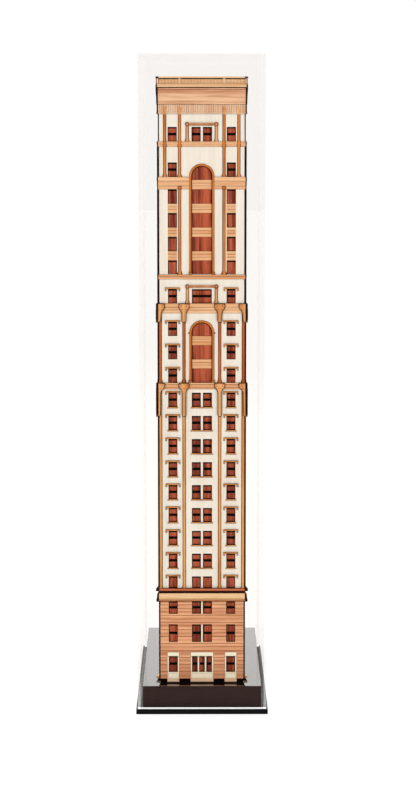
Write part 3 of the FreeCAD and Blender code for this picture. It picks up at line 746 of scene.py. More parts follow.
def make_colonettes(finish):
    """Slim columns of the tower: bases on the belts, a collar where they cross the top
    belt and a round boss where the long ones meet the deep band."""
    surface = Surface()
    half, depth, boss = colonette_width / 2, 1.35, 2.6
    z = tower_z
    shaft = [(z, half + 1.3, depth + 0.4), (z + 1.8, half + 1.3, depth + 0.4),
             (z + 3.2, half + 0.5, depth + 0.2), (z + 5.2, half, depth), (band_z, half, depth)]
    z = side_storey_z
    over = [(z, half + 1.2, depth + 0.3), (z + 1.6, half + 0.8, depth + 0.2),
            (z + 3.6, half + 0.1, depth), (z + 5.0, half, depth), (tower_belt_z, half, depth)]
    crown = [(top_storey_z, half, depth), (corbel_z, half, depth)]
    z = tower_belt_z
    collar = [(z - 0.6, half + 0.2, depth + 0.15), (z, half + 0.9, depth + 0.75),
              (z + 2.4, half + 0.9, depth + 0.85), (z + 3.2, half + 0.4, depth + 0.45),
              (z + 4.0, half + 0.8, depth + 0.75), (top_storey_z, half + 0.7, depth + 0.65),
              (top_storey_z + 0.8, half, depth + 0.05)]
    for wall in tower_walls:
        both = [*wall.colonettes, *wall.short_colonettes]
        turned(surface, wall, wall.colonettes, *flared(shaft), wall_face)
        for rows in (over, crown, collar):
            turned(surface, wall, both, *flared(rows), wall_face)
        discs(surface, wall, wall.colonettes, band_z + 2.0, boss,
              ((wall_face, 0), (belt_face + 0.5, 0.3), (belt_face + 0.8, 1.2)), 0.7)
    return surface.piece("tower_colonettes", "trim_cherry", finish, "colonettes")


def make_colonette_heads(finish):
    """Heads that spread over the corbel table, on top of the colonettes."""
    surface = Surface()
    half, depth = colonette_width / 2, 1.5
    top = corbel_z + 0.72 * (cove_z - corbel_z)
    rows = [(corbel_z - 0.8, half, depth), (corbel_z + 0.2, half + 0.6, depth + 0.6),
            (corbel_z + 1.8, half + 0.2, depth + 0.5), (top - 1.5, half + 0.3, depth + 0.6),
            (top, half + 0.9, depth + 0.9)]
    for wall in tower_walls:
        turned(surface, wall, [*wall.colonettes, *wall.short_colonettes], *flared(rows), wall_face,
               0.3)
    return surface.piece("colonette_heads", "trim_cherry", finish)


def make_corner_strips(finish):
    """Pale strips up the tower's front corners, between its belts."""
    surface = Surface()
    face = wall_face + 1.1
    z0 = np.array([attic_z, tower_z, side_storey_z])
    z1 = np.array([tower_foot_z, band_z, tower_belt_z])
    for wall in (left, right):
        u0 = wall.ends(wall_face, face)[0]
        blocks(surface, wall, u0, u0 + corner_strip_width, z0, z1, wall_face, face, 0.3, 1.0)
    return surface.piece("edge_strips", "surround_maple", finish, "corner_strips")


# ---------- brackets ----------

def bracket_half(levels, top, bottom, head_height, stem, head):
    """A bracket's half width at each level, from half its stem's and its head's width: a
    quarter-circle to each side of the foot, a straight stem, a hollow flare that grows with
    the power 2.3 of its height, and a head that swells by a half sine."""
    shoulder = top - head_height
    neck = shoulder - bracket_taper
    waist = head - bracket_lip
    foot = stem * np.sqrt(np.clip(1 - ((bottom + stem - levels) / stem) ** 2, 0.05, 1))
    flare = stem + (waist - stem) * np.clip((levels - neck) / bracket_taper, 0, 1) ** 2.3
    swell = waist + bracket_lip * np.sin(np.pi * np.clip((levels - shoulder) / head_height, 0, 1))
    half = np.where(levels < bottom + stem, foot, flare)
    return np.where(levels > shoulder, swell, half)


def bracket_set(surface, wall, top, height, head_height, stem_width):
    """Overlaid uprights with a curled head: the plate, a raised tongue that follows its
    outline, and two small scrolls in the head. The end ones are cut straight."""
    bottom, shoulder = top - height, top - head_height
    stem, corner_stem = stem_width / 2, stem_width * corner_share
    levels = np.concatenate([bottom + stem - stem * np.cos(np.linspace(0.15, 1, 6) * np.pi / 2),
                             np.linspace(shoulder - bracket_taper, shoulder, 7),
                             np.linspace(shoulder, top, 9)[1:]])
    face = bracket_face - 0.1
    plate = ((belt_face, 0), (bracket_face - 0.5, 0), (face, 0.9))
    tongue = ((face, 0), (face + 0.3, 0.1), (face + 0.4, 0.35))
    inner = np.linspace(bottom + stem, shoulder - 0.8, 12)
    sizes = (top, bottom, head_height)
    half = bracket_half(levels, *sizes, stem, head_width / 2)
    inner_half = bracket_half(inner, *sizes, stem, head_width / 2) - 1.6
    wide = bracket_half(levels, *sizes, corner_stem, corner_head)
    inner_wide = bracket_half(inner, *sizes, corner_stem, corner_head) - 1.5
    lap = 0 * inner - 1.2
    u0, u1 = wall.ends(belt_face, bracket_face)
    shapes = [(u, half, half, levels, plate, 1.0) for u in wall.posts]
    shapes += [(u, inner_half, inner_half, inner, tongue, 0.35) for u in wall.posts]
    shapes += [(u0, 0 * wide, wide, levels, plate, 1.0), (u1, wide, 0 * wide, levels, plate, 1.0)]
    shapes += [(u0, lap, inner_wide, inner, tongue, 0.35), (u1, inner_wide, lap, inner, tongue, 0.35)]
    for u, before, after, z, rings, char_and_shade in shapes:
        edge = np.concatenate([u + after, u - before[::-1]])
        plates(surface, wall, np.stack([edge, np.concatenate([z, z[::-1]])], axis=-1), rings, char_and_shade)
    scroll = ((bracket_face, 0), (bracket_face + 0.3, 0.2), (bracket_face + 0.6, 0.7))
    reach, corner_reach = 4.6, 6.8
    eyes = [*beside(wall.posts, reach), u0 + corner_reach, u1 - corner_reach]
    discs(surface, wall, eyes, (shoulder + top) / 2, head_height * 0.3, scroll, 0.35)


def make_brackets(finish):
    """The long brackets under the arcade and the short ones under the attic."""
    surface = Surface()
    for wall in main_walls:
        bracket_set(surface, wall, arcade_z, *lower_bracket)
        bracket_set(surface, wall, attic_z, *upper_bracket)
    return surface.piece("scroll_brackets", "trim_cherry", finish, "lower_brackets",
                         "upper_brackets")


# ---------- openings' trim ----------

def make_arches(finish):
    """Moulded arch frames with imposts at the spring and blocks at the foot."""
    surface = Surface()
    face = arch_face
    section = [(arch_inner, wall_face, 1), (arch_inner, face - 0.7, 0.4),
               (arch_inner + 0.4, face - 0.15, 0), (arch_inner + 1.0, face, 0),
               (arch_outer - 0.9, face - 0.1, 0), (arch_outer - 0.3, face - 0.4, 0.9),
               (arch_outer, face - 0.9, 1), (arch_outer, wall_face, 1)]
    middle = (arch_inner + arch_outer) / 2
    block_top, cap_top = 2.6, 4.0
    block_half, cap_half = 2.1, 1.7
    for wall in main_walls:
        sets = [(wall.pairs, arcade_z, arcade_spring)]
        if wall.tower_pairs:
            sets.append((wall.tower_pairs, tower_z, tower_spring))
        for places, foot, spring in sets:
            arch_sweeps(surface, wall, places, foot, spring, section)
            u = np.array(beside(places, middle))
            blocks(surface, wall, u - block_half, u + block_half, foot, foot + block_top,
                   wall_face, face + 0.4, 0.4)
            blocks(surface, wall, u - cap_half, u + cap_half, foot + block_top, foot + cap_top,
                   wall_face, face + 0.2, 0.5, 0.6)
        u = np.array(beside(wall.pairs, arch_outer + 0.2))
        blocks(surface, wall, u - 1.0, u + 1.0, arcade_spring - 1.3, arcade_spring + 0.3,
               wall_face, face - 0.2, 0.3, 1.0, 0.8)
    return surface.piece("moulded_arches", "trim_cherry", finish, "arch_frames")


def make_frames(finish):
    """Jambs, a lintel, round capitals at its ends and blocks at the foot."""
    surface = Surface()
    face, capital = frame_face, 2.7
    places = [(wall, centre, foot) for wall in tower_walls for centre in wall.tower_pairs
              for foot in (attic_z, top_storey_z)]
    for wall, centre, foot in places:
        u = beside([centre], frame_inner + frame_jamb / 2)
        head = foot + window_height + frame_gap
        top = head + frame_lintel
        jamb = [(foot, 2.7, 1.7), (foot + 1.6, 2.7, 1.7), (foot + 2.4, 2.3, 1.4),
                (foot + 3.4, 2.0, 1.2), (head, 2.0, 1.2)]
        turned(surface, wall, u, *flared(jamb), wall_face)
        lintel = [(wall_face, head, 1), (face - 0.3, head, 0.8), (face, head + 0.3, 0.1),
                  (face, head + 1.3, 0.8), (face + 0.3, head + 1.7, 0.15),
                  (face + 0.4, head + 2.6, 0.15), (face + 0.1, top, 1), (wall_face, top, 1)]
        courses(surface, wall, lintel, centre - frame_inner, centre + frame_inner)
        discs(surface, wall, u, (head + top) / 2, capital,
              ((wall_face, 0), (face, 0.0), (face + 0.5, 0.45), (face + 0.8, 1.3)), 0.6, 0.1)
    return surface.piece("middle_window_frames", "trim_cherry", finish, "window_frames")


def hood_outline():
    """A flat hood about its window's head: the two drops swell to a round end."""
    outer = window_width / 2 + hood_reach
    inner = outer - hood_drop_width
    bulb_u, bulb_z = outer - 0.9, -1.6
    turn = np.linspace(0.15, 0.85, 5) * np.pi
    curl = np.stack([bulb_u - 1.15 * np.cos(turn), bulb_z - 0.9 * np.sin(turn)], axis=-1)
    half = np.array([(0.0, 0.0), (inner - 0.5, 0.0), (inner, -0.5), *curl, (outer, -0.9),
                     (outer, hood_height - 0.4), (outer - 0.4, hood_height)])
    other = half[:0:-1] * (-1, 1)
    return np.concatenate([half, other])


def make_hoods(finish):
    """Hoods over the single windows, each with a thin cap along its face."""
    surface = Surface()
    outline = hood_outline()
    cap = window_width / 2 + hood_reach - 0.35
    heads = [mid_z + low_window_height, *[top for _, top in mid_levels + arcade_levels],
             attic_levels[1]]
    for wall in main_walls:
        if wall.singles:
            places = np.array([(u, z) for u in wall.singles for z in heads])
            plates(surface, wall, places[:, None] + outline,
                   ((wall_face, 0), (hood_face - 0.3, 0), (hood_face, 0.4)), 1.0)
            u, z = places.T
            blocks(surface, wall, u - cap, u + cap, z + 0.9, z + hood_height - 0.1, hood_face,
                   hood_face + 0.35, 0.25, 0.5)
    return surface.piece("curled_hoods", "trim_cherry", finish, "window_hoods")


def make_sills(finish):
    """Sills that spread downwards, with a rounded face."""
    surface = Surface()
    low, high, height = sill_width / 2, window_width / 2, sill_height
    outline = np.array([(-low, -height), (low, -height), (low - 0.15, -height + 0.5),
                        (high, 0), (-high, 0), (-low + 0.15, -height + 0.5)])
    for wall in main_walls:
        middles = wall.singles + paired(wall.pairs)
        places = np.array([(u, z) for u in middles for z, _ in mid_levels])
        plates(surface, wall, places[:, None] + outline,
               ((wall_face, 0), (sill_face - 0.3, 0), (sill_face, 0.4)), 0.9)
    return surface.piece("spread_sills", "trim_cherry", finish, "window_sills")


# ---------- crown ----------

def make_corbels(finish):
    """A reeded table between a plain foot course and the colonettes' heads."""
    surface = Surface()
    foot, face = corbel_z + 2.0, corbel_face
    plain = [(wall_face, corbel_z, 1), (face - 0.3, corbel_z, 0.9), (face, corbel_z + 0.3, 0),
             (face, foot - 0.3, 0.5), (face - 0.3, foot, 1), (wall_face, foot, 1)]
    for wall in tower_walls:
        u0, u1 = wall.tower_ends(wall_face, face)
        courses(surface, wall, plain, u0, u1)
        reeded(surface, wall, u0, u1, foot, cove_z, wall_face, face - 0.1, 2.1, 0.45)
    return surface.piece("reeded_corbels", "band_birch", finish, "corbel_tables")


def make_cornice(finish):
    """A cornice board under a thin fillet. It leans outwards in a hollow curve, by the
    square of the share of its height."""
    surface = Surface()
    low, high = corbel_face, cornice_face
    bottom, rise = cove_z + 1.0, roof_z - cove_z - 3.4
    face = [(low + (high - low) * t ** 2, bottom + rise * t, 0) for t in np.linspace(0, 1, 9)]
    fillet = [(high - 0.1, roof_z - 2.2, 0.7), (high - 0.35, roof_z - 1.9, 0.4),
              (high, roof_z - 1.5, 0), (high, roof_z - 0.4, 0.8)]
    profile = [(wall_face, cove_z, 1), (low - 0.3, cove_z, 1), (low, cove_z + 0.4, 0), *face,
               *fillet, (high - 0.3, roof_z, 1), (wall_face, roof_z, 1)]
    for wall in tower_walls:
        courses(surface, wall, profile, *wall.tower_ends(wall_face, high))
    return surface.piece("hollow_cornice", "band_birch", finish, "cove_cornices")


def make_parapet(finish):
    """A reeded board between a deep foot course and the top rail."""
    surface = Surface()
    back, board, rail, under = parapet_back, parapet_face, rail_face, parapet_face + 0.5
    low = roof_z + rail_height
    course = [(board, roof_z, 1), (rail - 0.4, roof_z, 1), (rail, roof_z + 0.9, 0.1),
              (rail, low - 2.2, 0.6), (rail - 0.35, low - 1.8, 0.1), (rail - 0.35, low - 0.3, 0.7),
              (rail - 0.7, low, 0.9), (board, low, 1)]
    top = [(back, top_rail_z, 1), (rail - 0.2, top_rail_z, 1), (rail, top_rail_z + 0.35, 0),
           (rail, building_top - 0.4, 0), (rail - 0.4, building_top, 0.15), (back, building_top, 1)]
    # A black strip under the top rail: painted shadow
    shadow = [(board, top_rail_z - 1.1, 1), (under, top_rail_z - 0.7, 1),
              (under, top_rail_z, 1), (board, top_rail_z, 1)]
    for wall in tower_walls:
        u0, u1 = wall.tower_ends(back, board)
        reeded(surface, wall, u0, u1, roof_z, top_rail_z, back, board, 1.7, 0.4)
        courses(surface, wall, course, *wall.tower_ends(board, rail))
        courses(surface, wall, shadow, *wall.tower_ends(board, under))
        courses(surface, wall, top, *wall.tower_ends(back, rail))
    return surface.piece("reeded_parapet", "band_birch", finish, "parapet_boards",
                         "parapet_rails")


def make_parapet_posts(finish):
    """Short posts between the parapet's rails: over the long colonettes and at the ends."""
    surface = Surface()
    for wall in tower_walls:
        u0, u1 = wall.tower_ends(parapet_face, post_face)
        u = np.array([*wall.colonettes, u0 + post_end / 2, u1 - post_end / 2])
        half = np.array([post_width] * len(wall.colonettes) + [post_end] * 2) / 2
        blocks(surface, wall, u - half, u + half, roof_z + rail_height, top_rail_z, parapet_face,
               post_face, 0.2, 0.4)
    return surface.piece("pale_parapet_posts", "trim_cherry", finish, "parapet_posts")


def make_wing_parapets(finish):
    """Low walls round the roof behind the tower, each with a coping."""
    surface = Surface()
    back, face, coping = parapet_back - 1.0, parapet_back + 1.0, parapet_back + 1.7
    top = tower_z + wing_parapet_height
    profile = [(back, tower_z, 1), (face, tower_z, 0), (face, top - 1.8, 0.8),
               (coping, top - 1.5, 0), (coping, top - 0.4, 0.3), (coping - 0.4, top, 0),
               (back, top, 0)]
    for wall in (left, right, rear):
        u0, u1 = wall.ends(back, face)
        if wall is not rear:
            u0 = tower_side + cornice_face
        courses(surface, wall, profile, u0, u1)
    return surface.piece("coped_wing_walls", "band_birch", finish, "wing_parapets")


def make_edging(finish):
    """A thin black edging round the plinth's glossy top sheet, mitred at its corners: a
    section of (out, z) carried round the sheet's outline."""
    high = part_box("plinth_top_sheet")[1]
    z0, z1 = span("plinth_top_sheet")
    gap, out = 0.02, 0.3
    corners = np.array([(-1, -1), (1, -1), (1, 1), (-1, 1), (-1, -1)]) * (high.x / MM, high.y / MM)
    section = np.array([(gap, z0 - 0.4), (out, z0 - 0.2), (out, z1 - 0.25), (gap, z1 - 0.02)])
    plan = corners[:, None] + np.sign(corners)[:, None] * section[:, :1]
    height = np.broadcast_to(section[:, 1:], (len(corners), len(section), 1))
    points = np.concatenate([plan, height], axis=-1) * MM
    surface = Surface()
    surface.stack(points[None])
    return surface.piece("plinth_edging", "plinth_black_wood", finish)


# ---------- camera, light and floor ----------

def aim_camera():
    """A long lens a little below the parapet, looking slightly down at the front."""
    data = bpy.data.cameras.new("camera")
    data.lens = 89.44
    data.clip_start = 0.05
    data.clip_end = 50.0
    camera = bpy.data.objects.new("camera", data)
    camera.location = (-0.0019, -2.5239, 0.6822)
    camera.rotation_euler = (math.radians(82.774), 0.0, math.radians(-0.222))
    bpy.context.collection.objects.link(camera)
    bpy.context.scene.camera = camera


def soft_light(name, place, target, size, power):
    """A square lamp at place, turned to face target."""
    data = bpy.data.lights.new(name, "AREA")
    data.size = size
    data.energy = power
    lamp = bpy.data.objects.new(name, data)
    lamp.location = place
    way = np.array(target) - np.array(place)
    flat = math.hypot(way[0], way[1])
    lamp.rotation_euler = (math.atan2(flat, -way[2]), 0.0,
                           math.atan2(way[1], way[0]) - math.pi / 2)
    bpy.context.collection.objects.link(lamp)


def light_studio():
    """White surroundings that light the model less than they show, brighter behind it than
    in front, and four soft lamps."""
    world = bpy.data.worlds.new("studio")
    bpy.context.scene.world = world
    world.use_nodes = True
    net = Net(world.node_tree)
    background = world.node_tree.nodes["Background"]
    background.inputs["Color"].default_value = (1.0, 1.0, 1.0, 1.0)
    path = net.node("ShaderNodeLightPath")
    parts = net.node("ShaderNodeSeparateXYZ")
    net.feed(parts.inputs[0], net.node("ShaderNodeTexCoord").outputs["Generated"])
    shown, ahead, behind = 1.05, 0.27, 1.25
    toward_back = net.ramp(parts.outputs["Y"], -0.2, 0.5)
    lit = net.math("MULTIPLY_ADD", toward_back, behind - ahead, ahead)
    seen = path.outputs["Is Camera Ray"]
    strength = net.math("MULTIPLY_ADD", seen, net.math("SUBTRACT", shown, lit), lit)
    net.feed(background.inputs["Strength"], strength)
    middle = (0, 0, 0.4)
    soft_light("key", (-1.5, -2.6, 2.1), middle, 1.2, 32)
    soft_light("fill", (1.9, -2.4, 0.8), middle, 1.4, 23)
    soft_light("back_left", (-1.6, 2.4, 1.9), middle, 1.4, 16)
    soft_light("back_right", (1.7, 2.2, 1.6), middle, 1.4, 12)


def lay_floor():
    """A round white floor, level with the underside of the base plate."""
    sides, reach = 96, 20.0
    angle = np.linspace(0, 2 * np.pi, sides, endpoint=False)
    rim = np.stack([reach * np.cos(angle), reach * np.sin(angle), 0 * angle], axis=-1)
    mesh = bpy.data.meshes.new("floor")
    mesh.from_pydata(rim.tolist(), [], [list(range(sides))])
    floor = bpy.data.objects.new("floor", mesh)
    bpy.context.collection.objects.link(floor)
    material = bpy.data.materials.new("floor_white")
    material.use_nodes = True
    shader = material.node_tree.nodes["Principled BSDF"]
    shader.inputs["Base Color"].default_value = (0.3, 0.3, 0.3, 1.0)
    shader.inputs["Roughness"].default_value = 0.7
    shader.inputs["Specular IOR Level"].default_value = 0.1
    shader.inputs["Emission Color"].default_value = (1.0, 1.0, 1.0, 1.0)
    shader.inputs["Emission Strength"].default_value = 0.84
    mesh.materials.append(material)


# ---------- node groups ----------

class Net:
    """Short calls that add nodes and link them."""

    def __init__(self, tree):
        self.tree = tree

    def node(self, kind, **settings):
        made = self.tree.nodes.new(kind)
        for key, value in settings.items():
            setattr(made, key, value)
        return made

    def feed(self, socket, value):
        if isinstance(value, bpy.types.NodeSocket):
            self.tree.links.new(value, socket)
        else:
            socket.default_value = value

    def math(self, operation, a, b=0.0, c=0.0, clamp=False):
        made = self.node("ShaderNodeMath", operation=operation, use_clamp=clamp)
        for socket, value in zip(made.inputs, (a, b, c)):
            self.feed(socket, value)
        return made.outputs[0]

    def mix(self, factor, a, b, blend="MIX"):
        # Inputs 6 and 7 and output 2 are the node's colour sockets
        made = self.node("ShaderNodeMix", data_type="RGBA", blend_type=blend)
        self.feed(made.inputs[0], factor)
        self.feed(made.inputs[6], a)
        self.feed(made.inputs[7], b)
        return made.outputs[2]

    def noise(self, vector, scale, detail, roughness):
        made = self.node("ShaderNodeTexNoise")
        self.feed(made.inputs["Vector"], vector)
        made.inputs["Scale"].default_value = scale
        made.inputs["Detail"].default_value = detail
        made.inputs["Roughness"].default_value = roughness
        return made.outputs["Fac"]

    def stretch(self, vector, scale):
        made = self.node("ShaderNodeVectorMath", operation="MULTIPLY")
        self.feed(made.inputs[0], vector)
        self.feed(made.inputs[1], scale)
        return made.outputs[0]

    def ramp(self, value, low, high):
        made = self.node("ShaderNodeMapRange", interpolation_type="SMOOTHSTEP")
        self.feed(made.inputs["Value"], value)
        self.feed(made.inputs["From Min"], low)
        self.feed(made.inputs["From Max"], high)
        return made.outputs[0]


def group(name, inputs, outputs, build):
    """A shader node group: inputs and outputs are (name, kind, default) rows."""
    tree = bpy.data.node_groups.new(name, "ShaderNodeTree")
    for label, kind, default in inputs:
        socket = tree.interface.new_socket(label, in_out="INPUT", socket_type=kind)
        if default is not None:
            socket.default_value = default
    for label, kind in outputs:
        tree.interface.new_socket(label, in_out="OUTPUT", socket_type=kind)
    net = Net(tree)
    given = net.node("NodeGroupInput").outputs
    result = net.node("NodeGroupOutput").inputs
    build(net, given, result)
    return tree


def build_grain(net, given, result):
    """Veneer: long fibres stretched along the grain, dark pores and slow bands of tone."""
    place = net.stretch(given["Vector"], given["Stretch"])
    fibre = net.noise(place, 1.0, 6.0, 0.62)
    fine = net.noise(net.stretch(place, (2.7, 2.7, 2.7)), 1.0, 4.0, 0.7)
    slow = net.noise(net.stretch(place, (0.18, 0.18, 0.3)), 1.0, 2.0, 0.5)
    mixed = net.math("ADD", net.math("MULTIPLY", fibre, 0.5), net.math("MULTIPLY", slow, 0.5))
    tone = net.ramp(mixed, 0.36, 0.64)
    pores = net.ramp(fine, 0.60, 0.72)
    color = net.mix(tone, given["Dark"], given["Light"])
    depth = net.math("MULTIPLY", pores, given["Pores"])
    net.feed(result["Color"], net.mix(depth, color, given["Pore color"]))
    net.feed(result["Height"], net.math("SUBTRACT", tone, pores))
    net.feed(result["Tone"], tone)


def build_cut(net, given, result):
    """Masks edges left by a cutter: faces that turn more than about 5 degrees from every
    wall. Cos and Sin are those of the side walls' slant."""
    square = 0.9955
    parts = net.node("ShaderNodeSeparateXYZ")
    net.feed(parts.inputs[0], given["Normal"])
    x, y, z = parts.outputs
    ahead = net.math("ABSOLUTE", y)
    aslant = net.math("ADD", net.math("MULTIPLY", net.math("ABSOLUTE", x), given["Cos"]),
                      net.math("MULTIPLY", y, given["Sin"]))
    facing = net.math("MAXIMUM", ahead, aslant)
    net.feed(result["Mask"], net.math("LESS_THAN", facing, square))


def build_sawn(net, given, result):
    """Masks the corners of a box case, where two of its walls meet, and its foot, where the clear
    sheet takes a milky painted glow.
    """
    parts = net.node("ShaderNodeSeparateXYZ")
    net.feed(parts.inputs[0], given["Vector"])
    x, y, z = parts.outputs
    near_side = net.math("GREATER_THAN", net.math("ABSOLUTE", x), given["Side"])
    near_end = net.math("GREATER_THAN", net.math("ABSOLUTE", y), given["End"])
    near_top = net.math("GREATER_THAN", z, given["Top"])
    count = net.math("ADD", net.math("ADD", near_side, near_end), near_top)
    net.feed(result["Corner"], net.math("GREATER_THAN", count, 1.5))
    net.feed(result["Foot"], net.math("LESS_THAN", z, given["Foot level"]))


def build_masonry(net, given, result):
    """Masks the bottoms of level grooves: one every Rise from the Foot level up, and as
    high as the Width."""
    parts = net.node("ShaderNodeSeparateXYZ")
    net.feed(parts.inputs[0], given["Vector"])
    up = net.math("SUBTRACT", parts.outputs[2], given["Foot level"])
    above = net.math("MULTIPLY", net.math("FRACT", net.math("DIVIDE", up, given["Rise"])),
                     given["Rise"])
    net.feed(result["Joint"], net.math("LESS_THAN", above, given["Width"]))


MASONRY = group(
    "level_joints",
    [("Vector", "NodeSocketVector", None), ("Foot level", "NodeSocketFloat", 0.0),
     ("Rise", "NodeSocketFloat", 0.004), ("Width", "NodeSocketFloat", 0.0005)],
    [("Joint", "NodeSocketFloat")],
    build_masonry)
SAWN = group(
    "sawn_edges",
    [("Vector", "NodeSocketVector", None), ("Side", "NodeSocketFloat", 0.077),
     ("End", "NodeSocketFloat", 0.155), ("Top", "NodeSocketFloat", 0.793),
     ("Foot level", "NodeSocketFloat", 0.008)],
    [("Corner", "NodeSocketFloat"), ("Foot", "NodeSocketFloat")],
    build_sawn)
GRAIN = group(
    "veneer_grain",
    [("Vector", "NodeSocketVector", None), ("Stretch", "NodeSocketVector", (400, 400, 30)),
     ("Dark", "NodeSocketColor", (0.5, 0.3, 0.2, 1)), ("Light", "NodeSocketColor", (0.7, 0.5, 0.3, 1)),
     ("Pore color", "NodeSocketColor", (0.2, 0.1, 0.05, 1)), ("Pores", "NodeSocketFloat", 0.3)],
    [("Color", "NodeSocketColor"), ("Height", "NodeSocketFloat"), ("Tone", "NodeSocketFloat")],
    build_grain)
CUT = group(
    "cut_edges",
    [("Normal", "NodeSocketVector", None), ("Cos", "NodeSocketFloat", 1.0),
     ("Sin", "NodeSocketFloat", 0.0)],
    [("Mask", "NodeSocketFloat")],
    build_cut)


# Each wood: its dark and light fibres, its pores, how much they show and the grain's way
WOODS = {
    "walnut": ((0.13, 0.013, 0.006), (0.58, 0.12, 0.05), (0.04, 0.004, 0.002), 0.9, "z"),
    "maple": ((0.92, 0.82, 0.69), (0.98, 0.92, 0.81), (0.85, 0.66, 0.45), 0.15, "z"),
    "cherry": ((0.64, 0.25, 0.115), (0.98, 0.51, 0.275), (0.36, 0.12, 0.05), 0.5, "level"),
    "pale": ((1.0, 0.92, 0.68), (1.0, 0.97, 0.82), (0.9, 0.65, 0.35), 0.1, "z"),
    "step": ((0.97, 0.58, 0.36), (1.0, 0.78, 0.56), (0.65, 0.34, 0.18), 0.15, "level"),
    "birch": ((0.78, 0.35, 0.15), (0.98, 0.61, 0.34), (0.5, 0.19, 0.08), 0.5, "level"),
    "beech": ((0.56, 0.24, 0.12), (0.92, 0.58, 0.36), (0.36, 0.13, 0.06), 0.6, "level"),
    "sycamore": ((0.82, 0.5, 0.3), (0.98, 0.76, 0.54), (0.6, 0.3, 0.15), 0.3, "z"),
    "rose": ((0.62, 0.27, 0.12), (0.87, 0.48, 0.25), (0.42, 0.15, 0.06), 0.4, "z"),
    "larch": ((0.66, 0.26, 0.085), (0.92, 0.48, 0.19), (0.4, 0.13, 0.04), 0.5, "z"),
    "ash": ((0.88, 0.44, 0.2), (1.0, 0.74, 0.44), (0.58, 0.25, 0.11), 0.4, "level"),
    "amber": ((0.52, 0.14, 0.022), (0.8, 0.28, 0.06), (0.3, 0.07, 0.015), 0.4, "z"),
    "russet": ((0.36, 0.065, 0.01), (0.62, 0.15, 0.03), (0.2, 0.03, 0.006), 0.4, "z"),
    "honey": ((0.66, 0.24, 0.055), (0.9, 0.42, 0.12), (0.42, 0.13, 0.03), 0.4, "z"),
    "roll": ((0.9, 0.5, 0.23), (1.0, 0.75, 0.44), (0.5, 0.23, 0.09), 0.25, "level"),
    "ledge": ((0.6, 0.16, 0.06), (0.84, 0.29, 0.13), (0.3, 0.08, 0.03), 0.25, "level"),
}
GRAIN_SCALE = {"z": (520, 520, 26), "level": (22, 22, 620)}
# Scorched and burnt colours; through the char attribute they also paint shade on pieces that stand for
# shadow
SCORCH_AND_SHADE = (0.5, 0.26, 0.16, 1.0)
BURNT_AND_SHADOW = (0.012, 0.004, 0.003, 1.0)


def veneer(wood, edges, joints=False):
    """A veneer material. Its edges are charred by their facing on a cut sheet, or darkened by the
    piece's own char attribute, which holds burnt edges and painted shade: at a half it is
    scorched brown, and at full it is black.
    joints says that the base storeys' grooves are scorched."""
    dark, light, pore, pores, along = WOODS[wood]
    material = bpy.data.materials.new(wood + "_" + edges)
    material.use_nodes = True
    net = Net(material.node_tree)
    shader = material.node_tree.nodes["Principled BSDF"]
    where = net.node("ShaderNodeTexCoord")
    grain = net.node("ShaderNodeGroup", node_tree=GRAIN)
    net.feed(grain.inputs["Vector"], where.outputs["Object"])
    grain.inputs["Stretch"].default_value = GRAIN_SCALE[along]
    grain.inputs["Dark"].default_value = (*dark, 1)
    grain.inputs["Light"].default_value = (*light, 1)
    grain.inputs["Pore color"].default_value = (*pore, 1)
    grain.inputs["Pores"].default_value = pores
    if edges == "cut":
        mask = net.node("ShaderNodeGroup", node_tree=CUT)
        net.feed(mask.inputs["Normal"], where.outputs["Normal"])
        mask.inputs["Cos"].default_value = cos_slant
        mask.inputs["Sin"].default_value = sin_slant
        char_and_shade = mask.outputs["Mask"]
    else:
        char_and_shade = net.node("ShaderNodeAttribute", attribute_name="char_and_shade").outputs["Fac"]
    if joints:
        lines = net.node("ShaderNodeGroup", node_tree=MASONRY)
        net.feed(lines.inputs["Vector"], where.outputs["Object"])
        lines.inputs["Foot level"].default_value = base_z * MM
        lines.inputs["Rise"].default_value = groove_pitch * MM
        lines.inputs["Width"].default_value = groove_width * MM
        char_and_shade = net.math("MAXIMUM", char_and_shade, net.math("MULTIPLY", lines.outputs["Joint"], 0.5))
    scorched_and_shaded = net.mix(1.0, grain.outputs["Color"], SCORCH_AND_SHADE, "MULTIPLY")
    brown = net.mix(net.math("MULTIPLY", char_and_shade, 2.0, clamp=True), grain.outputs["Color"], scorched_and_shaded)
    net.feed(shader.inputs["Base Color"],
             net.mix(net.math("MULTIPLY_ADD", char_and_shade, 2.0, -1.0, clamp=True), brown, BURNT_AND_SHADOW))
    worn = net.math("MULTIPLY_ADD", grain.outputs["Tone"], -0.12, 0.55)
    net.feed(shader.inputs["Roughness"], net.math("MULTIPLY_ADD", char_and_shade, 0.3, worn))
    shader.inputs["Specular IOR Level"].default_value = 0.15
    bump = net.node("ShaderNodeBump")
    bump.inputs["Strength"].default_value = 0.4
    bump.inputs["Distance"].default_value = 0.0002
    net.feed(bump.inputs["Height"], net.math("MULTIPLY", grain.outputs["Height"], 0.15))
    net.feed(shader.inputs["Normal"], bump.outputs["Normal"])
    return material


def lacquer(name, color, rough, coat=0.0, metallic=0.0, specular=0.5):
    """A plain finish with faint clouding in its colour and its gloss."""
    material = bpy.data.materials.new(name)
    material.use_nodes = True
    net = Net(material.node_tree)
    shader = material.node_tree.nodes["Principled BSDF"]
    where = net.node("ShaderNodeTexCoord")
    cloud = net.noise(where.outputs["Object"], 40.0, 1.0, 0.5)
    tint = net.mix(cloud, (*[c * 0.85 for c in color], 1), (*[min(c * 1.15, 1) for c in color], 1))
    net.feed(shader.inputs["Base Color"], tint)
    net.feed(shader.inputs["Roughness"], net.math("MULTIPLY_ADD", cloud, rough * 0.3, rough * 0.85))
    shader.inputs["Metallic"].default_value = metallic
    shader.inputs["Coat Weight"].default_value = coat
    shader.inputs["Coat Roughness"].default_value = rough
    shader.inputs["IOR"].default_value = 1.5
    shader.inputs["Specular IOR Level"].default_value = specular
    return material


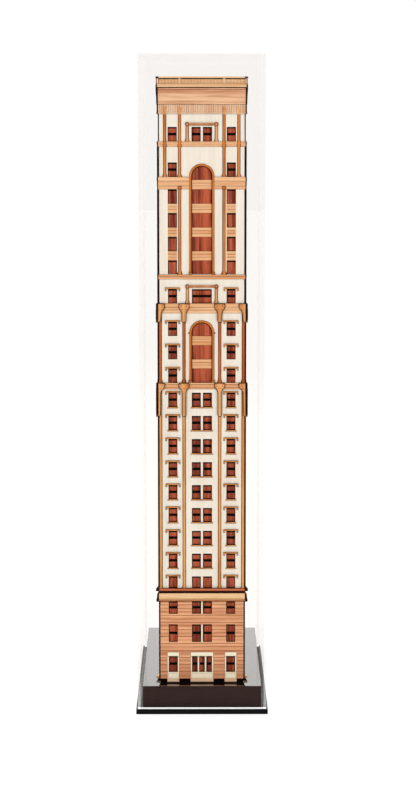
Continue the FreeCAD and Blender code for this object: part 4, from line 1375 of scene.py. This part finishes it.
def clear_acrylic():
    """Clear sheet. Its faces mirror by the fourth power of how far they turn away, and its
    sawn edges and its foot are milky with a painted glow, strongest at the foot, where it
    paints the bright line along the case's foot."""
    material = bpy.data.materials.new("clear_acrylic")
    material.use_nodes = True
    net = Net(material.node_tree)
    mirror = material.node_tree.nodes["Principled BSDF"]
    mirror.inputs["Base Color"].default_value = (0.97, 0.97, 0.98, 1.0)
    mirror.inputs["Metallic"].default_value = 1.0
    mirror.inputs["Roughness"].default_value = 0.03
    # Milky edges that glow: painted highlight
    milky_glow = net.node("ShaderNodeBsdfPrincipled")
    milky_glow.inputs["Base Color"].default_value = (0.95, 0.96, 0.97, 1.0)
    milky_glow.inputs["Roughness"].default_value = 0.6
    milky_glow.inputs["Emission Color"].default_value = (1.0, 1.0, 1.0, 1.0)
    milky_glow.inputs["Emission Strength"].default_value = 0.35
    where = net.node("ShaderNodeTexCoord")
    edge = net.node("ShaderNodeGroup", node_tree=SAWN)
    net.feed(edge.inputs["Vector"], where.outputs["Object"])
    low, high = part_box("case_top_panel")
    wall = (high.z - low.z) * 1.02
    foot_line = 1.3 * MM
    edge.inputs["Side"].default_value = high.x - wall
    edge.inputs["End"].default_value = high.y - wall
    edge.inputs["Top"].default_value = high.z - wall
    edge.inputs["Foot level"].default_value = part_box("case_front_panel")[0].z + foot_line
    through = net.node("ShaderNodeBsdfTransparent")
    through.inputs["Color"].default_value = (0.967, 0.961, 0.955, 1.0)
    slant = net.node("ShaderNodeLayerWeight")
    slant.inputs["Blend"].default_value = 0.5
    gloss = net.math("MULTIPLY", net.math("POWER", slant.outputs["Facing"], 4.0), 0.07)
    clear = net.node("ShaderNodeMixShader")
    net.feed(clear.inputs[0], gloss)
    net.feed(clear.inputs[1], through.outputs[0])
    net.feed(clear.inputs[2], mirror.outputs[0])
    share = net.math("MULTIPLY_ADD", edge.outputs["Corner"], 0.1,
                     net.math("MULTIPLY", edge.outputs["Foot"], 0.9))
    sheet = net.node("ShaderNodeMixShader")
    net.feed(sheet.inputs[0], share)
    net.feed(sheet.inputs[1], clear.outputs[0])
    net.feed(sheet.inputs[2], milky_glow.outputs[0])
    net.feed(material.node_tree.nodes["Material Output"].inputs["Surface"], sheet.outputs[0])
    return material


def dress_frame():
    """Gives every CAD node its finish, by the record's slots."""
    # Black for burnt parts; the window bars in it also paint the shadow in the openings
    black_burn_and_shadow = lacquer("burnt_black", (0.003, 0.002, 0.0015), 0.8, specular=0.05)
    satin = lacquer("satin_black", (0.034, 0.018, 0.016), 0.45, specular=0.12)
    finishes = {
        "base_gloss_black": lacquer("gloss_black", (0.003, 0.003, 0.004), 0.2, specular=0.06),
        "plinth_black_wood": satin,
        "plinth_gloss_top": lacquer("gloss_top", (0.012, 0.01, 0.01), 0.06, 1.0),
        "screw_steel": lacquer("zinc_steel", (0.5, 0.5, 0.52), 0.3, metallic=1.0),
        "clear_acrylic": clear_acrylic(),
        "core_board": lacquer("fibreboard", (0.36, 0.24, 0.14), 0.8),
        "window_walnut": veneer("walnut", "cut"),
        "wall_maple": veneer("maple", "cut"),
        "base_cherry": veneer("cherry", "cut", joints=True),
        "surround_maple": veneer("pale", "cut"),
        "burnt_black": black_burn_and_shadow,
        "band_birch": veneer("birch", "cut"),
        "trim_cherry": veneer("amber", "cut"),
    }
    for row in frame["record"]["subparts"]:
        mesh = nodes[row["node"]].data
        mesh.materials.clear()
        mesh.materials.append(finishes[row["material_slot"]])
    return black_burn_and_shadow, satin


def dress_building(black_burn_and_shadow, satin):
    """Makes the building's detailed trim."""
    makers = [
        (make_surrounds, "pale"), (make_steps, "step"), (make_mullions, "pale"),
        (make_roll, "roll"), (make_ledges, "ledge"), (make_belts, "birch"),
        (make_bands, "birch"), (make_spandrels, "birch"), (make_pilasters, "honey"),
        (make_arcade_columns, "russet"), (make_colonettes, "amber"), (make_colonette_heads, "larch"),
        (make_corner_strips, "pale"), (make_brackets, "larch"), (make_arches, "amber"),
        (make_frames, "rose"), (make_hoods, "honey"), (make_sills, "honey"),
        (make_corbels, "sycamore"), (make_cornice, "beech"), (make_parapet, "ash"),
        (make_parapet_posts, "sycamore"), (make_wing_parapets, "birch"),
    ]
    # These veneers darken by each piece's char attribute: burnt edges and painted shade
    finishes = {wood: veneer(wood, "charred_and_shaded") for wood in sorted({wood for _, wood in makers})}
    for make, wood in makers:
        make(finishes[wood])
    make_sashes(black_burn_and_shadow)
    make_edging(satin)


aim_camera()
light_studio()
lay_floor()
dress_building(*dress_frame())
bpy.context.scene.view_settings.view_transform = "Standard"
